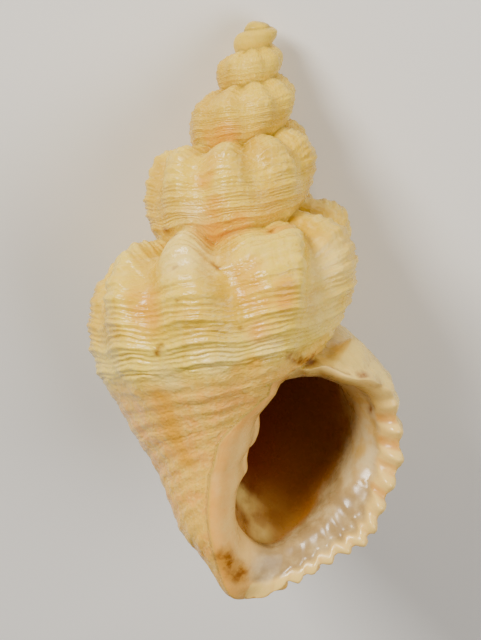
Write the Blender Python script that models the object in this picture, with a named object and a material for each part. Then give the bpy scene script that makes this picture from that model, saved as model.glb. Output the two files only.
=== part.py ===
"""Small ribbed sea shell with its aperture open, lying on its back.

The surface follows one growth spiral. A time t counts turns, with t = 0 at the outer lip
and negative values towards the apex. Each whorl is the same outline, larger by a fixed
ratio a turn. An outline point is (r, h): r from the coiling axis, h down the axis from the
point where the spiral would vanish. All outlines are in millimetres, as at t = 0.
"""
import math

import bmesh
import bpy
import numpy as np
from mathutils import Matrix, Vector

MM = 0.001

# Growth of the spiral
GROWTH = 0.4498            # natural logarithm of the growth a turn
APEX_FLATTENING = 0.80     # how far the rounded apex sits below the spiral's vanishing point
FIRST_TURN = -5.45
FIRST_OPENS = 0.4          # growth time over which the first whorl opens out from nothing
NUCLEUS_RISE = 0.05
TIP_HEIGHT = 15.23
CANAL_BEND = 0.73
CANAL_BEND_FROM = 12.11
# (height, sideways step of the axis) and (height, slimness): the spire isn't quite regular
AXIS_WANDER = ((1.05, 0.02), (1.4, 0.09), (2.1, 0.07), (3.0, 0.02), (4.6, -0.07), (6.2, -0.03), (7.5, 0.0))
SLIMNESS = ((1.2, 1.28), (1.3, 1.1), (1.45, 1.0), (1.8, 0.95), (3.3, 0.95), (4.7, 0.965), (6.0, 1.0))

# Side of a whorl, from the suture above it over shoulder and periphery to the suture below
SIDE = ((2.16, 8.54), (2.49, 8.65), (2.86, 8.77), (3.22, 8.94), (3.54, 9.20), (3.80, 9.64), (4.02, 10.22),
        (4.14, 10.85), (4.14, 11.43), (4.00, 12.01), (3.80, 12.50), (3.58, 12.96), (3.387, 13.39))
KNEE = 0.833               # fraction of the side where the base of the last turn takes over
ATTACH = -0.87             # where the lip meets the turn before it

# Base of the last turn from the knee to the canal's tip, at five growth times
BASES = {
    -0.87: ((2.64, 8.45), (2.29, 9.05), (1.89, 9.64), (1.60, 10.29), (1.38, 11.09), (1.19, 12.11),
            (1.02, 13.20), (0.87, 14.29), (0.78, 14.82), (0.44, 15.16), (0.0, TIP_HEIGHT)),
    -0.75: ((2.79, 8.91), (2.40, 9.52), (2.03, 10.10), (1.74, 10.71), (1.53, 11.38), (1.33, 12.35),
            (1.16, 13.32), (0.97, 14.29), (0.80, 14.85), (0.44, 15.16), (0.0, TIP_HEIGHT)),
    -0.50: ((3.03, 9.98), (2.58, 10.60), (2.26, 11.14), (1.86, 11.70), (1.53, 12.23), (1.35, 12.96),
            (1.25, 13.61), (0.93, 14.17), (0.72, 14.63), (0.44, 15.09), (0.0, TIP_HEIGHT)),
    -0.25: ((3.49, 11.17), (2.95, 11.87), (2.47, 12.47), (2.03, 13.08), (1.67, 13.56), (1.31, 14.05),
            (1.07, 14.39), (0.92, 14.68), (0.78, 14.92), (0.44, 15.16), (0.0, TIP_HEIGHT)),
    0.0: ((3.80, 12.50), (3.37, 13.15), (2.87, 13.55), (2.37, 13.89), (1.86, 14.19), (1.44, 14.43),
          (1.07, 14.62), (0.82, 14.84), (0.58, 15.02), (0.30, 15.16), (0.0, TIP_HEIGHT)),
}
SUTURE_ON_BASE = 0.093     # fraction of the base where the suture line runs at ATTACH

# Axial ribs: growth times of the crests seen in the photograph, then even steps further back
RIB_CRESTS = (-0.03, -0.12, -0.215, -0.315, -0.415, -0.515, -0.61, -0.715, -0.835, -0.955, -1.067,
              -1.179, -1.291, -1.403, -1.515, -1.625, -1.745, -1.865, -1.975)
RIB_STEP = 0.12
RIB_SHARPNESS = 1.15
# (growth time, strength) of the ribs, where one is stronger or weaker than the rest
RIB_GAIN = ((-1.1, 1.0), (-0.99, 0.9), (-0.835, 1.25), (-0.715, 1.25), (-0.61, 1.1), (-0.515, 0.55),
            (-0.415, 1.0))
# the same for the tops of the ribs at the suture
RIB_TOPS = ((-1.7, 1.0), (-1.515, 1.15), (-1.1, 1.0), (-0.835, 1.1), (-0.77, 1.0), (-0.74, 1.5),
            (-0.69, 1.5), (-0.66, 1.0), (-0.61, 1.1), (-0.515, 0.6), (-0.415, 1.0))
# (fraction of the side, rise outwards, rise along h) of a rib's crest over the space between
RIB_RISE = ((0.0, 0.27, -0.46), (0.06, 0.19, -0.41), (0.12, 0.17, -0.44), (0.19, 0.27, -0.44),
            (0.255, 0.34, -0.39), (0.30, 0.41, -0.29), (0.35, 0.48, -0.19), (0.40, 0.51, -0.10),
            (0.47, 0.44, 0.0), (0.54, 0.34, 0.0), (0.62, 0.22, 0.0), (0.70, 0.13, 0.0),
            (0.80, 0.07, 0.0), (1.0, 0.02, 0.0))
# (fraction of the side, growth time by which the crest lags): the ribs slant
RIB_SLANT = ((0.0, 0.07), (0.1, 0.062), (0.25, 0.03), (0.4, 0.005), (0.5, 0.0), (0.7, -0.012), (1.0, -0.03))
# (growth time, share of the slant)
RIB_LEAN = ((-1.0, 0.8), (-0.9, 0.4), (-0.81, 0.4), (-0.72, 1.0))
RIBS_BEGIN = (-4.5, -3.6)
PUSH_FROM = 0.58           # fraction of the side from which the next turn's ribs push this turn's surface
# (growth time, step outwards) of the shoulder over the plain outline
SHOULDER = ((-4.0, -0.6), (-3.0, -0.6), (-2.3, -0.25), (-1.9, 0.0), (-1.5, 0.35), (-1.0, 0.42), (-0.8, 0.0))

# Spiral cords: heights of the strong ones on the side, then even steps on the base
CORDS = (8.86, 9.23, 9.65, 10.10, 10.83, 11.57, 12.26, 12.90)
CORD_STEP = 0.52
CORD_HEIGHT = 0.087
CORD_WIDTH = 0.12
CORD_LAST = 24.0
CORD_CLIMB = 0.20          # how far the cords climb towards the suture before the lip
LIP_TEETH = 0.9            # how much higher the cords stand at the lip's edge

# Outer lip: (fraction of the side, growth time of its edge), and the callus edge on the turn before it
LIP_EDGE = ((0.0, 0.13), (0.06, 0.112), (0.12, 0.09), (0.19, 0.07), (0.26, 0.042), (0.35, 0.018),
            (0.45, 0.006), (0.56, 0.0), (1.0, 0.0))
CALLUS_EDGE = ((9.06, 0.13), (9.28, 0.185), (9.69, 0.18), (10.17, 0.215), (10.78, 0.259), (11.02, 0.272),
               (11.58, 0.281), (11.84, 0.289), (12.40, 0.295), (13.39, 0.324), (14.48, 0.36), (15.23, 0.37))
COLUMN_SQUEEZE = 0.5       # how far the callus edge may push the columns behind it together
LIP_FLARE = 0.12
LIP_DEPTH = 0.10           # growth time over which the thick inner lip reaches back
CALLUS_THICKNESS = 0.085

# Hollow of the whorl: outer wall, the narrowest ring of the lip, and the columella with its two folds
HOLLOW_WALL = ((2.30, 8.91), (2.62, 9.01), (2.93, 9.18), (3.20, 9.42), (3.44, 9.83), (3.66, 10.34),
               (3.80, 10.85), (3.83, 11.38), (3.70, 11.87), (3.45, 12.25), (3.02, 12.74), (2.55, 13.14),
               (2.10, 13.45), (1.66, 13.70), (1.22, 13.88), (0.86, 13.98), (0.60, 13.95))
LIP_THROAT = ((1.74, 9.54), (2.03, 9.57), (2.36, 9.66), (2.72, 9.80), (3.03, 10.08), (3.26, 10.45),
              (3.38, 10.90), (3.38, 11.33), (3.27, 11.77), (3.08, 12.14), (2.77, 12.66), (2.42, 13.08),
              (2.04, 13.40), (1.62, 13.68), (1.20, 13.90), (0.86, 14.02), (0.60, 13.95))
COLUMELLA = ((2.30, 8.91), (1.94, 9.18), (1.60, 9.45), (1.26, 9.69), (0.97, 10.00), (0.78, 10.34),
             (0.75, 10.66), (0.82, 10.97), (0.65, 11.29), (0.48, 11.53), (0.53, 11.84), (0.34, 12.16),
             (0.19, 12.47), (0.12, 12.84), (0.12, 13.20), (0.24, 13.62), (0.60, 13.95))
HOLLOW_END = -3.4          # growth time where the hollow closes

# Grid, before it is thinned to the triangle count
COLUMNS = 84
SIDE_ROWS = 28
SUTURE_ROWS = 4
BASE_ROWS = 36
LIP_RINGS = 14
HOLLOW_RINGS = 56
CAP_RINGS = 4
TRIANGLES = 9600

# How it lies: the direction that points up in the shell's own frame (right, apex, aperture)
REST_UP = (0.025, -0.395, 0.918)
FLAT_SPOT_CUT = 0.09       # millimetres ground off where it rests

SHELL_COLOUR = (0.80, 0.66, 0.42, 1.0)
SHELL_ROUGHNESS = 0.45


def smooth(x):
    """Ease from 0 to 1."""
    x = np.clip(x, 0.0, 1.0)
    return x*x*(3.0 - 2.0*x)


def table(pairs, x):
    """Straight lines between (key, value) pairs."""
    keys, values = zip(*pairs)
    return np.interp(x, keys, values)


def through(keys, values, x):
    """Smooth curve through values at rising keys."""
    keys = np.asarray(keys, float)
    values = np.asarray(values, float)
    x = np.clip(np.asarray(x, float), keys[0], keys[-1])
    gaps = np.diff(keys)[:, None]
    rates = np.diff(values, axis=0)/gaps
    slopes = np.empty_like(values)
    slopes[1:-1] = (rates[:-1]*gaps[1:] + rates[1:]*gaps[:-1])/(gaps[1:] + gaps[:-1])
    slopes[0] = 1.5*rates[0] - 0.5*slopes[1]
    slopes[-1] = 1.5*rates[-1] - 0.5*slopes[-2]
    i = np.clip(np.searchsorted(keys, x, side='right') - 1, 0, len(keys) - 2)
    gap = (keys[i + 1] - keys[i])[..., None]
    u = (x - keys[i])[..., None]/gap
    ends = (2*u**3 - 3*u**2 + 1)*values[i] + (3*u**2 - 2*u**3)*values[i + 1]
    return ends + gap*((u**3 - 2*u**2 + u)*slopes[i] + (u**3 - u**2)*slopes[i + 1])


def arc_fractions(points):
    """Length along a polyline at each of its points, as a fraction of the whole."""
    steps = np.linalg.norm(np.diff(np.asarray(points, float), axis=0), axis=1)
    length = np.concatenate([[0.0], np.cumsum(steps)])
    return length/length[-1]


def along(points, fraction):
    """Smooth curve through points, by fraction of its length."""
    return through(arc_fractions(points), points, fraction)


def outward(curve, x, step):
    """Unit normal of a curve in the (r, h) plane, pointing out of the shell."""
    run = curve(np.clip(x + step, 0, 1)) - curve(np.clip(x - step, 0, 1))
    run = run/np.linalg.norm(run, axis=-1, keepdims=True)
    return np.stack([run[..., 1], -run[..., 0]], axis=-1)


def grown(t):
    """Size at growth time t, where it is 1 at the lip."""
    return np.exp(GROWTH*t)


def rib_crests():
    """Growth times of all rib crests in rising order, with a few past the lip."""
    crests = list(RIB_CRESTS)
    while crests[-1] > FIRST_TURN - 3*RIB_STEP:
        crests.append(crests[-1] - RIB_STEP)
    past_lip = [RIB_CRESTS[0] + 0.1*(i + 1) for i in range(4)]
    return np.array(sorted(crests + past_lip))


CRESTS = rib_crests()


def rib_height(t, s):
    """Height of the ribs, 0 between them and 1 on a crest."""
    t, s = np.broadcast_arrays(np.asarray(t, float), np.asarray(s, float))
    t = t - table(RIB_SLANT, s)*table(RIB_LEAN, t)
    i = np.clip(np.searchsorted(CRESTS, t, side='right') - 1, 0, len(CRESTS) - 2)
    phase = (t - CRESTS[i])/(CRESTS[i + 1] - CRESTS[i])
    wave = (0.5 + 0.5*np.cos(2*np.pi*phase))**RIB_SHARPNESS
    begin, full = RIBS_BEGIN
    young = smooth((t - begin)/(full - begin))*(0.75 + 0.25*smooth((t + 2.6)/1.2))
    on_shoulder = smooth((s - 0.06)/0.08)*(1 - smooth((s - 0.14)/0.12))*smooth((t + 0.08)/0.05)
    at_lip = 1 - smooth((t + 0.22)/0.13)*(0.95 - 0.85*on_shoulder)
    at_top = 1 - smooth(s/0.3)
    strength = table(RIB_GAIN, t)*(1 - at_top) + table(RIB_TOPS, t)*at_top
    return wave*young*at_lip*strength


def cord_profile(height):
    """Height of the cords, 0 to 1, over the height that a point would have at t = 0."""
    cords = list(CORDS)
    while cords[-1] < CORD_LAST:
        cords.append(cords[-1] + CORD_STEP)
    return sum(np.exp(-((height - cord)/CORD_WIDTH)**2) for cord in cords)


def cord_climb(t):
    return CORD_CLIMB*smooth((t + 0.35)/0.35)


def towards_lip(t, gain):
    """1, and more by gain at the lip."""
    return 1 + gain*smooth((t + 0.10)/0.10)


def cord_place(t, s):
    """The height that sets the cords on the side, with the ramp spread out."""
    return np.interp(s, (0.0, 0.2, 0.35, 0.55, 1.0), (8.48, 8.91, 9.54, 10.75, 13.47)) + cord_climb(t)


def side_point(t, s):
    """Outline point on the side of the whorl."""
    t, s = np.broadcast_arrays(np.asarray(t, float), np.asarray(s, float))
    covered = 1 - smooth((t - ATTACH)/0.05)
    rise = through([row[0] for row in RIB_RISE], [row[1:] for row in RIB_RISE], s)
    ribs = rib_height(t, s)
    # the ribs of the next turn push the suture up this turn's surface
    near_suture = smooth((s - PUSH_FROM)/(1 - PUSH_FROM))*covered
    crest_top = np.array(RIB_RISE[0][1:])
    push = (grown(1.0)*rib_height(t + 1, 0.0)*near_suture)[..., None]*crest_top
    strength = CORD_HEIGHT*smooth((t + 4.2)/0.7)*smooth(s/0.06)*smooth((1 - s)/0.06)
    cords = strength*towards_lip(t, LIP_TEETH)*cord_profile(cord_place(t, s))*(0.75 + 0.6*ribs)
    flare = LIP_FLARE*smooth((t + 0.16)/0.16)*smooth((s - 0.5)/0.2)
    point = along(SIDE, s) + rise*(ribs*(1 - near_suture))[..., None] + push
    ramp = smooth(s/0.12)*(1 - smooth((s - 0.22)/0.18))
    wider = table(SHOULDER, t)*ramp*(0.35 + 0.65*ribs)
    point = point + wider[..., None]*np.array([1.0, 0.0])
    point = point + outward(lambda x: along(SIDE, x), s, 1e-3)*cords[..., None]
    point = point + flare[..., None]*np.array([1.0, 0.0])
    return point*grown(t)[..., None]


def base_outline(t, v):
    """The smooth base between the given outlines."""
    keys = np.array(sorted(BASES))
    outlines = np.array([along(BASES[key], v) for key in keys])
    rates = np.diff(outlines, axis=0)/np.diff(keys).reshape((-1,) + (1,)*(outlines.ndim - 1))
    slopes = np.concatenate([rates[:1], 0.5*(rates[:-1] + rates[1:]), rates[-1:]])
    x = np.clip(t, keys[0], keys[-1])
    i = np.clip(np.searchsorted(keys, x, side='right') - 1, 0, len(keys) - 2)

    def pick(stack, index):
        shape = (1,) + outlines.shape[1:]
        return np.take_along_axis(stack, np.broadcast_to(index[None, ..., None], shape), axis=0)[0]

    gap = (keys[i + 1] - keys[i])[..., None]
    u = (x - keys[i])[..., None]/gap
    ends = (2*u**3 - 3*u**2 + 1)*pick(outlines, i) + (3*u**2 - 2*u**3)*pick(outlines, i + 1)
    return ends + gap*((u**3 - 2*u**2 + u)*pick(slopes, i) + (u**3 - u**2)*pick(slopes, i + 1))


def base_cord_place(t, v, height):
    """The height that sets the cords on the base. Near the lip it follows the base's length instead."""
    keys = sorted(BASES)
    lengths = [np.linalg.norm(np.diff(np.array(BASES[key]), axis=0), axis=1).sum() for key in keys]
    by_length = BASES[0.0][0][1] + v*np.interp(t, keys, lengths)/grown(t)
    near_lip = smooth((t + 0.4)/0.4)
    return height/grown(t)*(1 - near_lip) + by_length*near_lip + cord_climb(t)


def base_point(t, v, cords=1.0):
    """Outline point on the base of the last turn, joined to the side at v = 0."""
    t, v = np.broadcast_arrays(np.asarray(t, float), np.asarray(v, float))
    size = grown(t)[..., None]
    knee = along(SIDE, np.array([KNEE]))[0]*size - base_outline(t, 0*v)
    point = base_outline(t, v) + knee*np.exp(-(v/0.08)**2)[..., None]
    # at the lip's upper end the base starts on the suture itself
    at_suture = base_outline(t, SUTURE_ON_BASE + 0*v) + knee*np.exp(-(SUTURE_ON_BASE/0.08)**2)
    pull = np.exp(-((v - SUTURE_ON_BASE)/0.07)**2)*smooth(v/SUTURE_ON_BASE)*(1 - smooth((t - ATTACH)/0.10))
    point = point + (np.array(SIDE[-1])*size - at_suture)*pull[..., None]
    normal = outward(lambda x: base_outline(t, x), v, 2e-3)
    lift = cords*0.9*CORD_HEIGHT*grown(0.6*t)*towards_lip(t, 0.6*LIP_TEETH)
    lift = lift*cord_profile(base_cord_place(t, v, point[..., 1]))*smooth((1 - v)/0.3)
    rise = grown(t)*(0.13*(1 - v)**3*rib_height(t, KNEE) + LIP_FLARE*smooth((t + 0.16)/0.16)*(1 - v)**2)
    return point + normal*lift[..., None] + rise[..., None]*np.array([1.0, 0.0])


def round_apex(point):
    """Keep the first whorls clear of the point where the spiral would vanish."""
    return np.stack([point[..., 0], np.hypot(point[..., 1], APEX_FLATTENING)], axis=-1)


def place(point, t):
    """From outline and growth time to the shell's own frame: right, apex, aperture."""
    angle = 2*np.pi*np.asarray(t, float)
    r, h = point[..., 0], point[..., 1]
    r = r*table(SLIMNESS, h)
    bend = CANAL_BEND*smooth((h - CANAL_BEND_FROM)/(TIP_HEIGHT - CANAL_BEND_FROM)) + table(AXIS_WANDER, h)
    return np.stack([r*np.cos(angle) + bend, -h, r*np.sin(angle)], axis=-1)


class Surface:
    """Vertices and faces as they are added."""

    def __init__(self):
        self.points = []
        self.faces = []

    def add(self, point):
        self.points.append(tuple(float(c) for c in point))
        return len(self.points) - 1

    def face(self, *corners):
        kept = tuple(dict.fromkeys(corners))
        if len(kept) > 2:
            self.faces.append(kept)

    def strip(self, first, second, closed=False):
        """Faces between two rows of equal length."""
        for a in range(len(first) if closed else len(first) - 1):
            b = (a + 1) % len(first)
            self.face(first[a], second[a], second[b], first[b])


def spire(surface, side_rows):
    """Covered turns. A turn's lower row is the next turn's upper row. Returns the grid of indices."""
    count = math.ceil((ATTACH - FIRST_TURN)*COLUMNS)
    times = ATTACH - np.arange(count, -1, -1)/COLUMNS
    times = times[:, None]
    below = side_point(times, side_rows[-1:])
    opening = smooth((times - times[0])/FIRST_OPENS)[..., None]
    outline = below + (side_point(times, side_rows[None, :]) - below)*opening
    points = place(round_apex(outline), times)
    grid = np.empty((count + 1, len(side_rows)), int)
    for j in range(count + 1):
        for i in range(len(side_rows)):
            if i == 0 and j >= COLUMNS:
                grid[j, i] = grid[j - COLUMNS, -1]
            elif j == 0 and i > 0:
                grid[j, i] = grid[0, 0]
            else:
                grid[j, i] = surface.add(points[j, i])
    for j in range(count):
        surface.strip(grid[j], grid[j + 1])
    return grid


def close_apex(surface, grid):
    """A low dome over the start of the first whorl."""
    loop = [grid[j, 0] for j in range(COLUMNS)]
    rim = np.array([surface.points[i] for i in loop])
    height = -rim[:, 1].max() - NUCLEUS_RISE
    top = np.array([table(AXIS_WANDER, height), -height, 0.0])
    previous = loop
    for k in range(1, CAP_RINGS):
        f = k/CAP_RINGS
        ring = rim*(1 - f) + top*f
        ring[:, 1] = rim[:, 1] + (top[1] - rim[:, 1])*math.sqrt(1 - (1 - f)**2)
        current = [surface.add(point) for point in ring]
        surface.strip(current, previous, closed=True)
        previous = current
    centre = surface.add(top)
    for a, index in enumerate(previous):
        surface.face(centre, index, previous[(a + 1) % len(previous)])


def callus_edge_time(base_rows):
    """Growth time of the callus edge on the turn before, for each row of the base."""
    times = np.full(len(base_rows), CALLUS_EDGE[0][1])
    for _ in range(4):
        heights = base_point(-1 + times, base_rows, cords=0)[:, 1]
        times = table(CALLUS_EDGE, heights)
        times[:SUTURE_ROWS] = CALLUS_EDGE[0][1]
    return times


def last_turn(surface, grid, side_rows, base_rows):
    """Open last turn from the callus edge to the lip. Returns indices, outline points and times."""
    turn = np.linspace(0.0, 1.0, COLUMNS + 1)[:, None]
    lip = through([row[0] for row in LIP_EDGE], [[row[1]] for row in LIP_EDGE], side_rows)[:, 0]
    lip[0] = 1 + ATTACH
    side_times = ATTACH + turn*(lip - ATTACH)
    shift = -1 + callus_edge_time(base_rows) - ATTACH
    fading = np.maximum(1.0, -COLUMN_SQUEEZE*ATTACH/np.maximum(np.abs(shift), 1e-6))
    base_times = ATTACH*(1 - turn) + shift*(1 - turn)**fading
    times = np.concatenate([side_times, base_times], axis=1)
    outline = np.concatenate([side_point(side_times, side_rows), base_point(base_times, base_rows)], axis=1)
    outline = round_apex(outline)
    points = place(outline, times)
    joined = len(side_rows) + SUTURE_ROWS
    indices = np.empty(times.shape, int)
    tip = surface.add((CANAL_BEND, -TIP_HEIGHT, 0.0))
    for j in range(COLUMNS + 1):
        for i in range(times.shape[1]):
            if i == times.shape[1] - 1:
                indices[j, i] = tip
            elif i == 0:
                indices[j, i] = grid[len(grid) - 1 - COLUMNS + j, -1]
            elif j == 0 and i < joined:
                indices[j, i] = grid[-1, i]
            else:
                indices[j, i] = surface.add(points[j, i])
    for j in range(COLUMNS):
        surface.strip(indices[j], indices[j + 1])
    return indices, outline, times


def spread(values, width):
    """Running mean around a closed loop."""
    padded = np.concatenate([values[-width:], values, values[:width]])
    return np.convolve(padded, np.ones(2*width + 1)/(2*width + 1), 'valid')


def hollow(surface, indices, outline, times, side_rows, base_rows):
    """Lip, callus and the hollow behind them, as rings from the open edge inwards."""
    rows = indices.shape[1]
    joined = len(side_rows) + SUTURE_ROWS
    callus_rows = list(range(rows - 2, joined - 1, -1))
    loop = list(indices[-1]) + [indices[0, i] for i in callus_rows]
    edge = np.concatenate([outline[-1], outline[0][callus_rows]])
    edge_times = np.concatenate([times[-1], times[0][callus_rows] + 1])
    edge_times[0] = 1 + ATTACH
    edge[rows - 1] = (0.0, TIP_HEIGHT)
    edge_times[rows - 1] = 0.14
    plain = base_point(times[0][callus_rows], base_rows[np.array(callus_rows) - len(side_rows)], cords=0)
    plain_edge = np.concatenate([outline[-1], round_apex(plain)])

    lip_line = np.concatenate([along(SIDE, side_rows), base_outline(np.zeros(len(base_rows)), base_rows)])
    lip_fraction = arc_fractions(lip_line)
    wall = along(HOLLOW_WALL, lip_fraction)
    throat = through(arc_fractions(HOLLOW_WALL), LIP_THROAT, lip_fraction)
    columella = np.array(COLUMELLA)
    low, high = columella[0, 1], columella[-1, 1]
    down = (outline[0][callus_rows][:, 1] - CALLUS_EDGE[0][0])/(TIP_HEIGHT - CALLUS_EDGE[0][0])
    height = np.clip(low + (high - low)*down, low, high)
    inner = np.stack([through(columella[:, 1], columella[:, :1], height)[:, 0], height], axis=-1)
    wall = np.concatenate([wall, inner])
    throat = np.concatenate([throat, inner])

    count = len(loop)
    is_lip = np.where(np.arange(count) < rows, 1.0, 0.0)
    near_tip = np.exp(-((np.arange(count) - (rows - 1))/(0.1*count))**2)
    lipness = spread(is_lip, count//28)*(1 - near_tip) + spread(is_lip, count//12)*near_tip

    previous = loop
    for k in range(1, LIP_RINGS + 1):
        f = k/LIP_RINGS
        inwards = smooth(min(1.0, f/0.75)**0.8)
        behind = 0.35*smooth((f - 0.75)/0.25)
        lip = edge + (throat - edge)*inwards
        lip = lip + (wall - throat)*behind
        lip_time = edge_times*(1 - smooth(f)) - LIP_DEPTH*f**1.7
        callus = plain_edge + (edge - plain_edge)*math.exp(-(f/0.05)**2) + (wall - plain_edge)*smooth(f)**0.9
        thickness = CALLUS_THICKNESS*math.exp(-((f - 0.10)/0.07)**2)*smooth(1.2 - 2*lipness)
        callus = callus + thickness[:, None]*np.array([1.0, 0.0])
        ring = lipness[:, None]*lip + (1 - lipness)[:, None]*callus
        ring_times = lipness*lip_time + (1 - lipness)*edge_times*(1 - f)
        current = [surface.add(point) for point in place(ring, ring_times)]
        surface.strip(previous, current, closed=True)
        previous = current

    start_times = ring_times
    difference = ring - wall*grown(start_times)[:, None]
    for k in range(1, HOLLOW_RINGS + 1):
        f = k/HOLLOW_RINGS
        now = HOLLOW_END*f**1.25 + start_times*(1 - smooth(f/0.12))
        now = np.minimum(now, start_times - 1e-4*k)
        fading = 1 - smooth((start_times - now)/0.16)
        ring = round_apex(wall*grown(now)[:, None] + difference*fading[:, None])
        current = [surface.add(point) for point in place(ring, now)]
        surface.strip(previous, current, closed=True)
        previous = current
    end = surface.add(np.mean([surface.points[i] for i in previous], axis=0))
    for a, index in enumerate(previous):
        surface.face(index, end, previous[(a + 1) % count])


def shell_surface():
    """The whole closed surface in the shell's own frame, in millimetres."""
    surface = Surface()
    side = np.linspace(0.0, KNEE, SIDE_ROWS + 1)
    covered = np.concatenate([side, np.linspace(KNEE, 1.0, SUTURE_ROWS + 1)[1:]])
    start = np.linspace(0.0, SUTURE_ON_BASE, SUTURE_ROWS + 1)[1:]
    base = np.concatenate([start, np.linspace(SUTURE_ON_BASE, 1.0, BASE_ROWS + 1)[1:]])
    grid = spire(surface, covered)
    close_apex(surface, grid)
    indices, outline, times = last_turn(surface, grid, side, base)
    hollow(surface, indices, outline, times, side, base)
    return surface


def resting_turn():
    """Rotation that brings REST_UP to +Z and keeps the apex towards +Y."""
    up = Vector(REST_UP).normalized()
    apex = Vector((0.0, 1.0, 0.0))
    along_floor = (apex - up*apex.dot(up)).normalized()
    right = along_floor.cross(up)
    return Matrix((right, along_floor, up)).to_4x4()


def thinned(mesh, triangles):
    """The mesh thinned to about the given number of triangles."""
    helper = bpy.data.objects.new("thinning", mesh)
    bpy.context.collection.objects.link(helper)
    modifier = helper.modifiers.new("Decimate", 'DECIMATE')
    modifier.ratio = triangles/len(mesh.polygons)
    graph = bpy.context.evaluated_depsgraph_get()
    result = bpy.data.meshes.new_from_object(helper.evaluated_get(graph))
    bpy.data.objects.remove(helper)
    return result


def grind_flat(mesh, cut):
    """Lay the lowest point on the floor and cut small flat spots there."""
    form = bmesh.new()
    form.from_mesh(mesh)
    level = min(vertex.co.z for vertex in form.verts) + cut
    everything = form.verts[:] + form.edges[:] + form.faces[:]
    result = bmesh.ops.bisect_plane(form, geom=everything, plane_co=(0, 0, level), plane_no=(0, 0, -1),
                                    clear_outer=True)
    rim = [part for part in result["geom_cut"] if isinstance(part, bmesh.types.BMEdge)]
    filled = bmesh.ops.edgeloop_fill(form, edges=rim)
    bmesh.ops.triangulate(form, faces=filled["faces"])
    bmesh.ops.recalc_face_normals(form, faces=form.faces[:])
    xs = [vertex.co.x for vertex in form.verts]
    ys = [vertex.co.y for vertex in form.verts]
    centre = Vector(((min(xs) + max(xs))/2, (min(ys) + max(ys))/2, level))
    bmesh.ops.translate(form, verts=form.verts[:], vec=-centre)
    form.to_mesh(mesh)
    form.free()


def shell_material():
    material = bpy.data.materials.new("aragonite")
    material.use_nodes = True
    shader = material.node_tree.nodes["Principled BSDF"]
    shader.inputs["Base Color"].default_value = SHELL_COLOUR
    shader.inputs["Roughness"].default_value = SHELL_ROUGHNESS
    shader.inputs["Metallic"].default_value = 0.0
    return material


def build():
    for thing in list(bpy.data.objects):
        bpy.data.objects.remove(thing)
    surface = shell_surface()
    fine = bpy.data.meshes.new("fine_shell")
    fine.from_pydata(surface.points, [], surface.faces)
    form = bmesh.new()
    form.from_mesh(fine)
    bmesh.ops.triangulate(form, faces=form.faces[:])
    bmesh.ops.recalc_face_normals(form, faces=form.faces[:])
    form.to_mesh(fine)
    form.free()
    mesh = thinned(fine, TRIANGLES)
    mesh.transform(resting_turn())
    grind_flat(mesh, FLAT_SPOT_CUT)
    mesh.transform(Matrix.Scale(MM, 4))
    mesh.name = "shell"
    mesh.materials.append(shell_material())
    shell = bpy.data.objects.new("shell", mesh)
    bpy.context.collection.objects.link(shell)


build()
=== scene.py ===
"""Looks of the small ribbed sea shell: its full surface and its material.

The surface follows the CAD solid's growth spiral on a finer grid. A growth time t counts turns, 0 at
the outer lip and negative towards the apex. An outline point is (r, h) in millimetres, as at t = 0:
r from the coiling axis, h down it from the point where the spiral would vanish. A place on a whorl's
side is the fraction s of the way from the suture above to the one below, and v on the base, from the
knee, where it leaves the side, to the canal's tip.
"""

import math

import bmesh
import bpy
import numpy as np
from mathutils import Matrix, Vector


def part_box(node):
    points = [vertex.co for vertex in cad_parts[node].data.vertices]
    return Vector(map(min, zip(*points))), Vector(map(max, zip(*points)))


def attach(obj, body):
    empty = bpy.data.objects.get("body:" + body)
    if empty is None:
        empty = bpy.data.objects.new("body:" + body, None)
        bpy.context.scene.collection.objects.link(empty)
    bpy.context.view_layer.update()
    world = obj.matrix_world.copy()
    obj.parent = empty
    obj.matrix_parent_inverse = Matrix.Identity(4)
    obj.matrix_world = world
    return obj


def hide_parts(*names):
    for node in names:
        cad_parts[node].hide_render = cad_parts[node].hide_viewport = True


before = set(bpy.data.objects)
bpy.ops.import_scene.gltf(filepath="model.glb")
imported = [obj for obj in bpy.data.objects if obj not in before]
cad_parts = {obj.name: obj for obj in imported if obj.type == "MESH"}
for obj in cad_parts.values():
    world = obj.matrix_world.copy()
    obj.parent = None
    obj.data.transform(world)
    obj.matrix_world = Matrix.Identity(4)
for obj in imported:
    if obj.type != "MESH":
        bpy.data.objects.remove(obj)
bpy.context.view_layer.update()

MM = 0.001

# Growth of the spiral
GROWTH = 0.4498  # natural logarithm of a turn's growth
APEX_FLATTENING = 0.80  # how far the apex sits below the vanishing point
FIRST_TURN = -5.45
FIRST_OPENS = 0.4  # growth time over which the first whorl opens
NUCLEUS_RISE = 0.09  # height of the dome on the first whorl
TIP_HEIGHT = 15.23  # h of the canal's tip
CANAL_BEND = 0.73  # how far the tip bends sideways
CANAL_BEND_FROM = 12.11  # from this h on
# (height, sideways step of the axis) and (height, slimness): the spire isn't quite regular
AXIS_WANDER = ((1.05, 0.02), (1.4, 0.09), (2.1, 0.07), (3.0, 0.02), (4.6, -0.07), (6.2, -0.03), (7.5, 0.0))
SLIMNESS = ((1.1, 1.7), (1.22, 1.4), (1.36, 1.12), (1.5, 1.0), (1.8, 0.95), (3.3, 0.95), (4.7, 0.965),
            (6.0, 1.0))

# Side of a whorl, from the suture above it over shoulder and periphery to the suture below
SIDE = ((2.16, 8.54), (2.49, 8.65), (2.86, 8.77), (3.22, 8.94), (3.54, 9.20), (3.80, 9.64), (4.02, 10.22),
        (4.14, 10.85), (4.14, 11.43), (4.00, 12.01), (3.80, 12.50), (3.58, 12.96), (3.387, 13.39))
KNEE = 0.833  # s where the base of the last turn takes over
ATTACH = -0.87  # growth time where the lip meets the turn before

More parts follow.
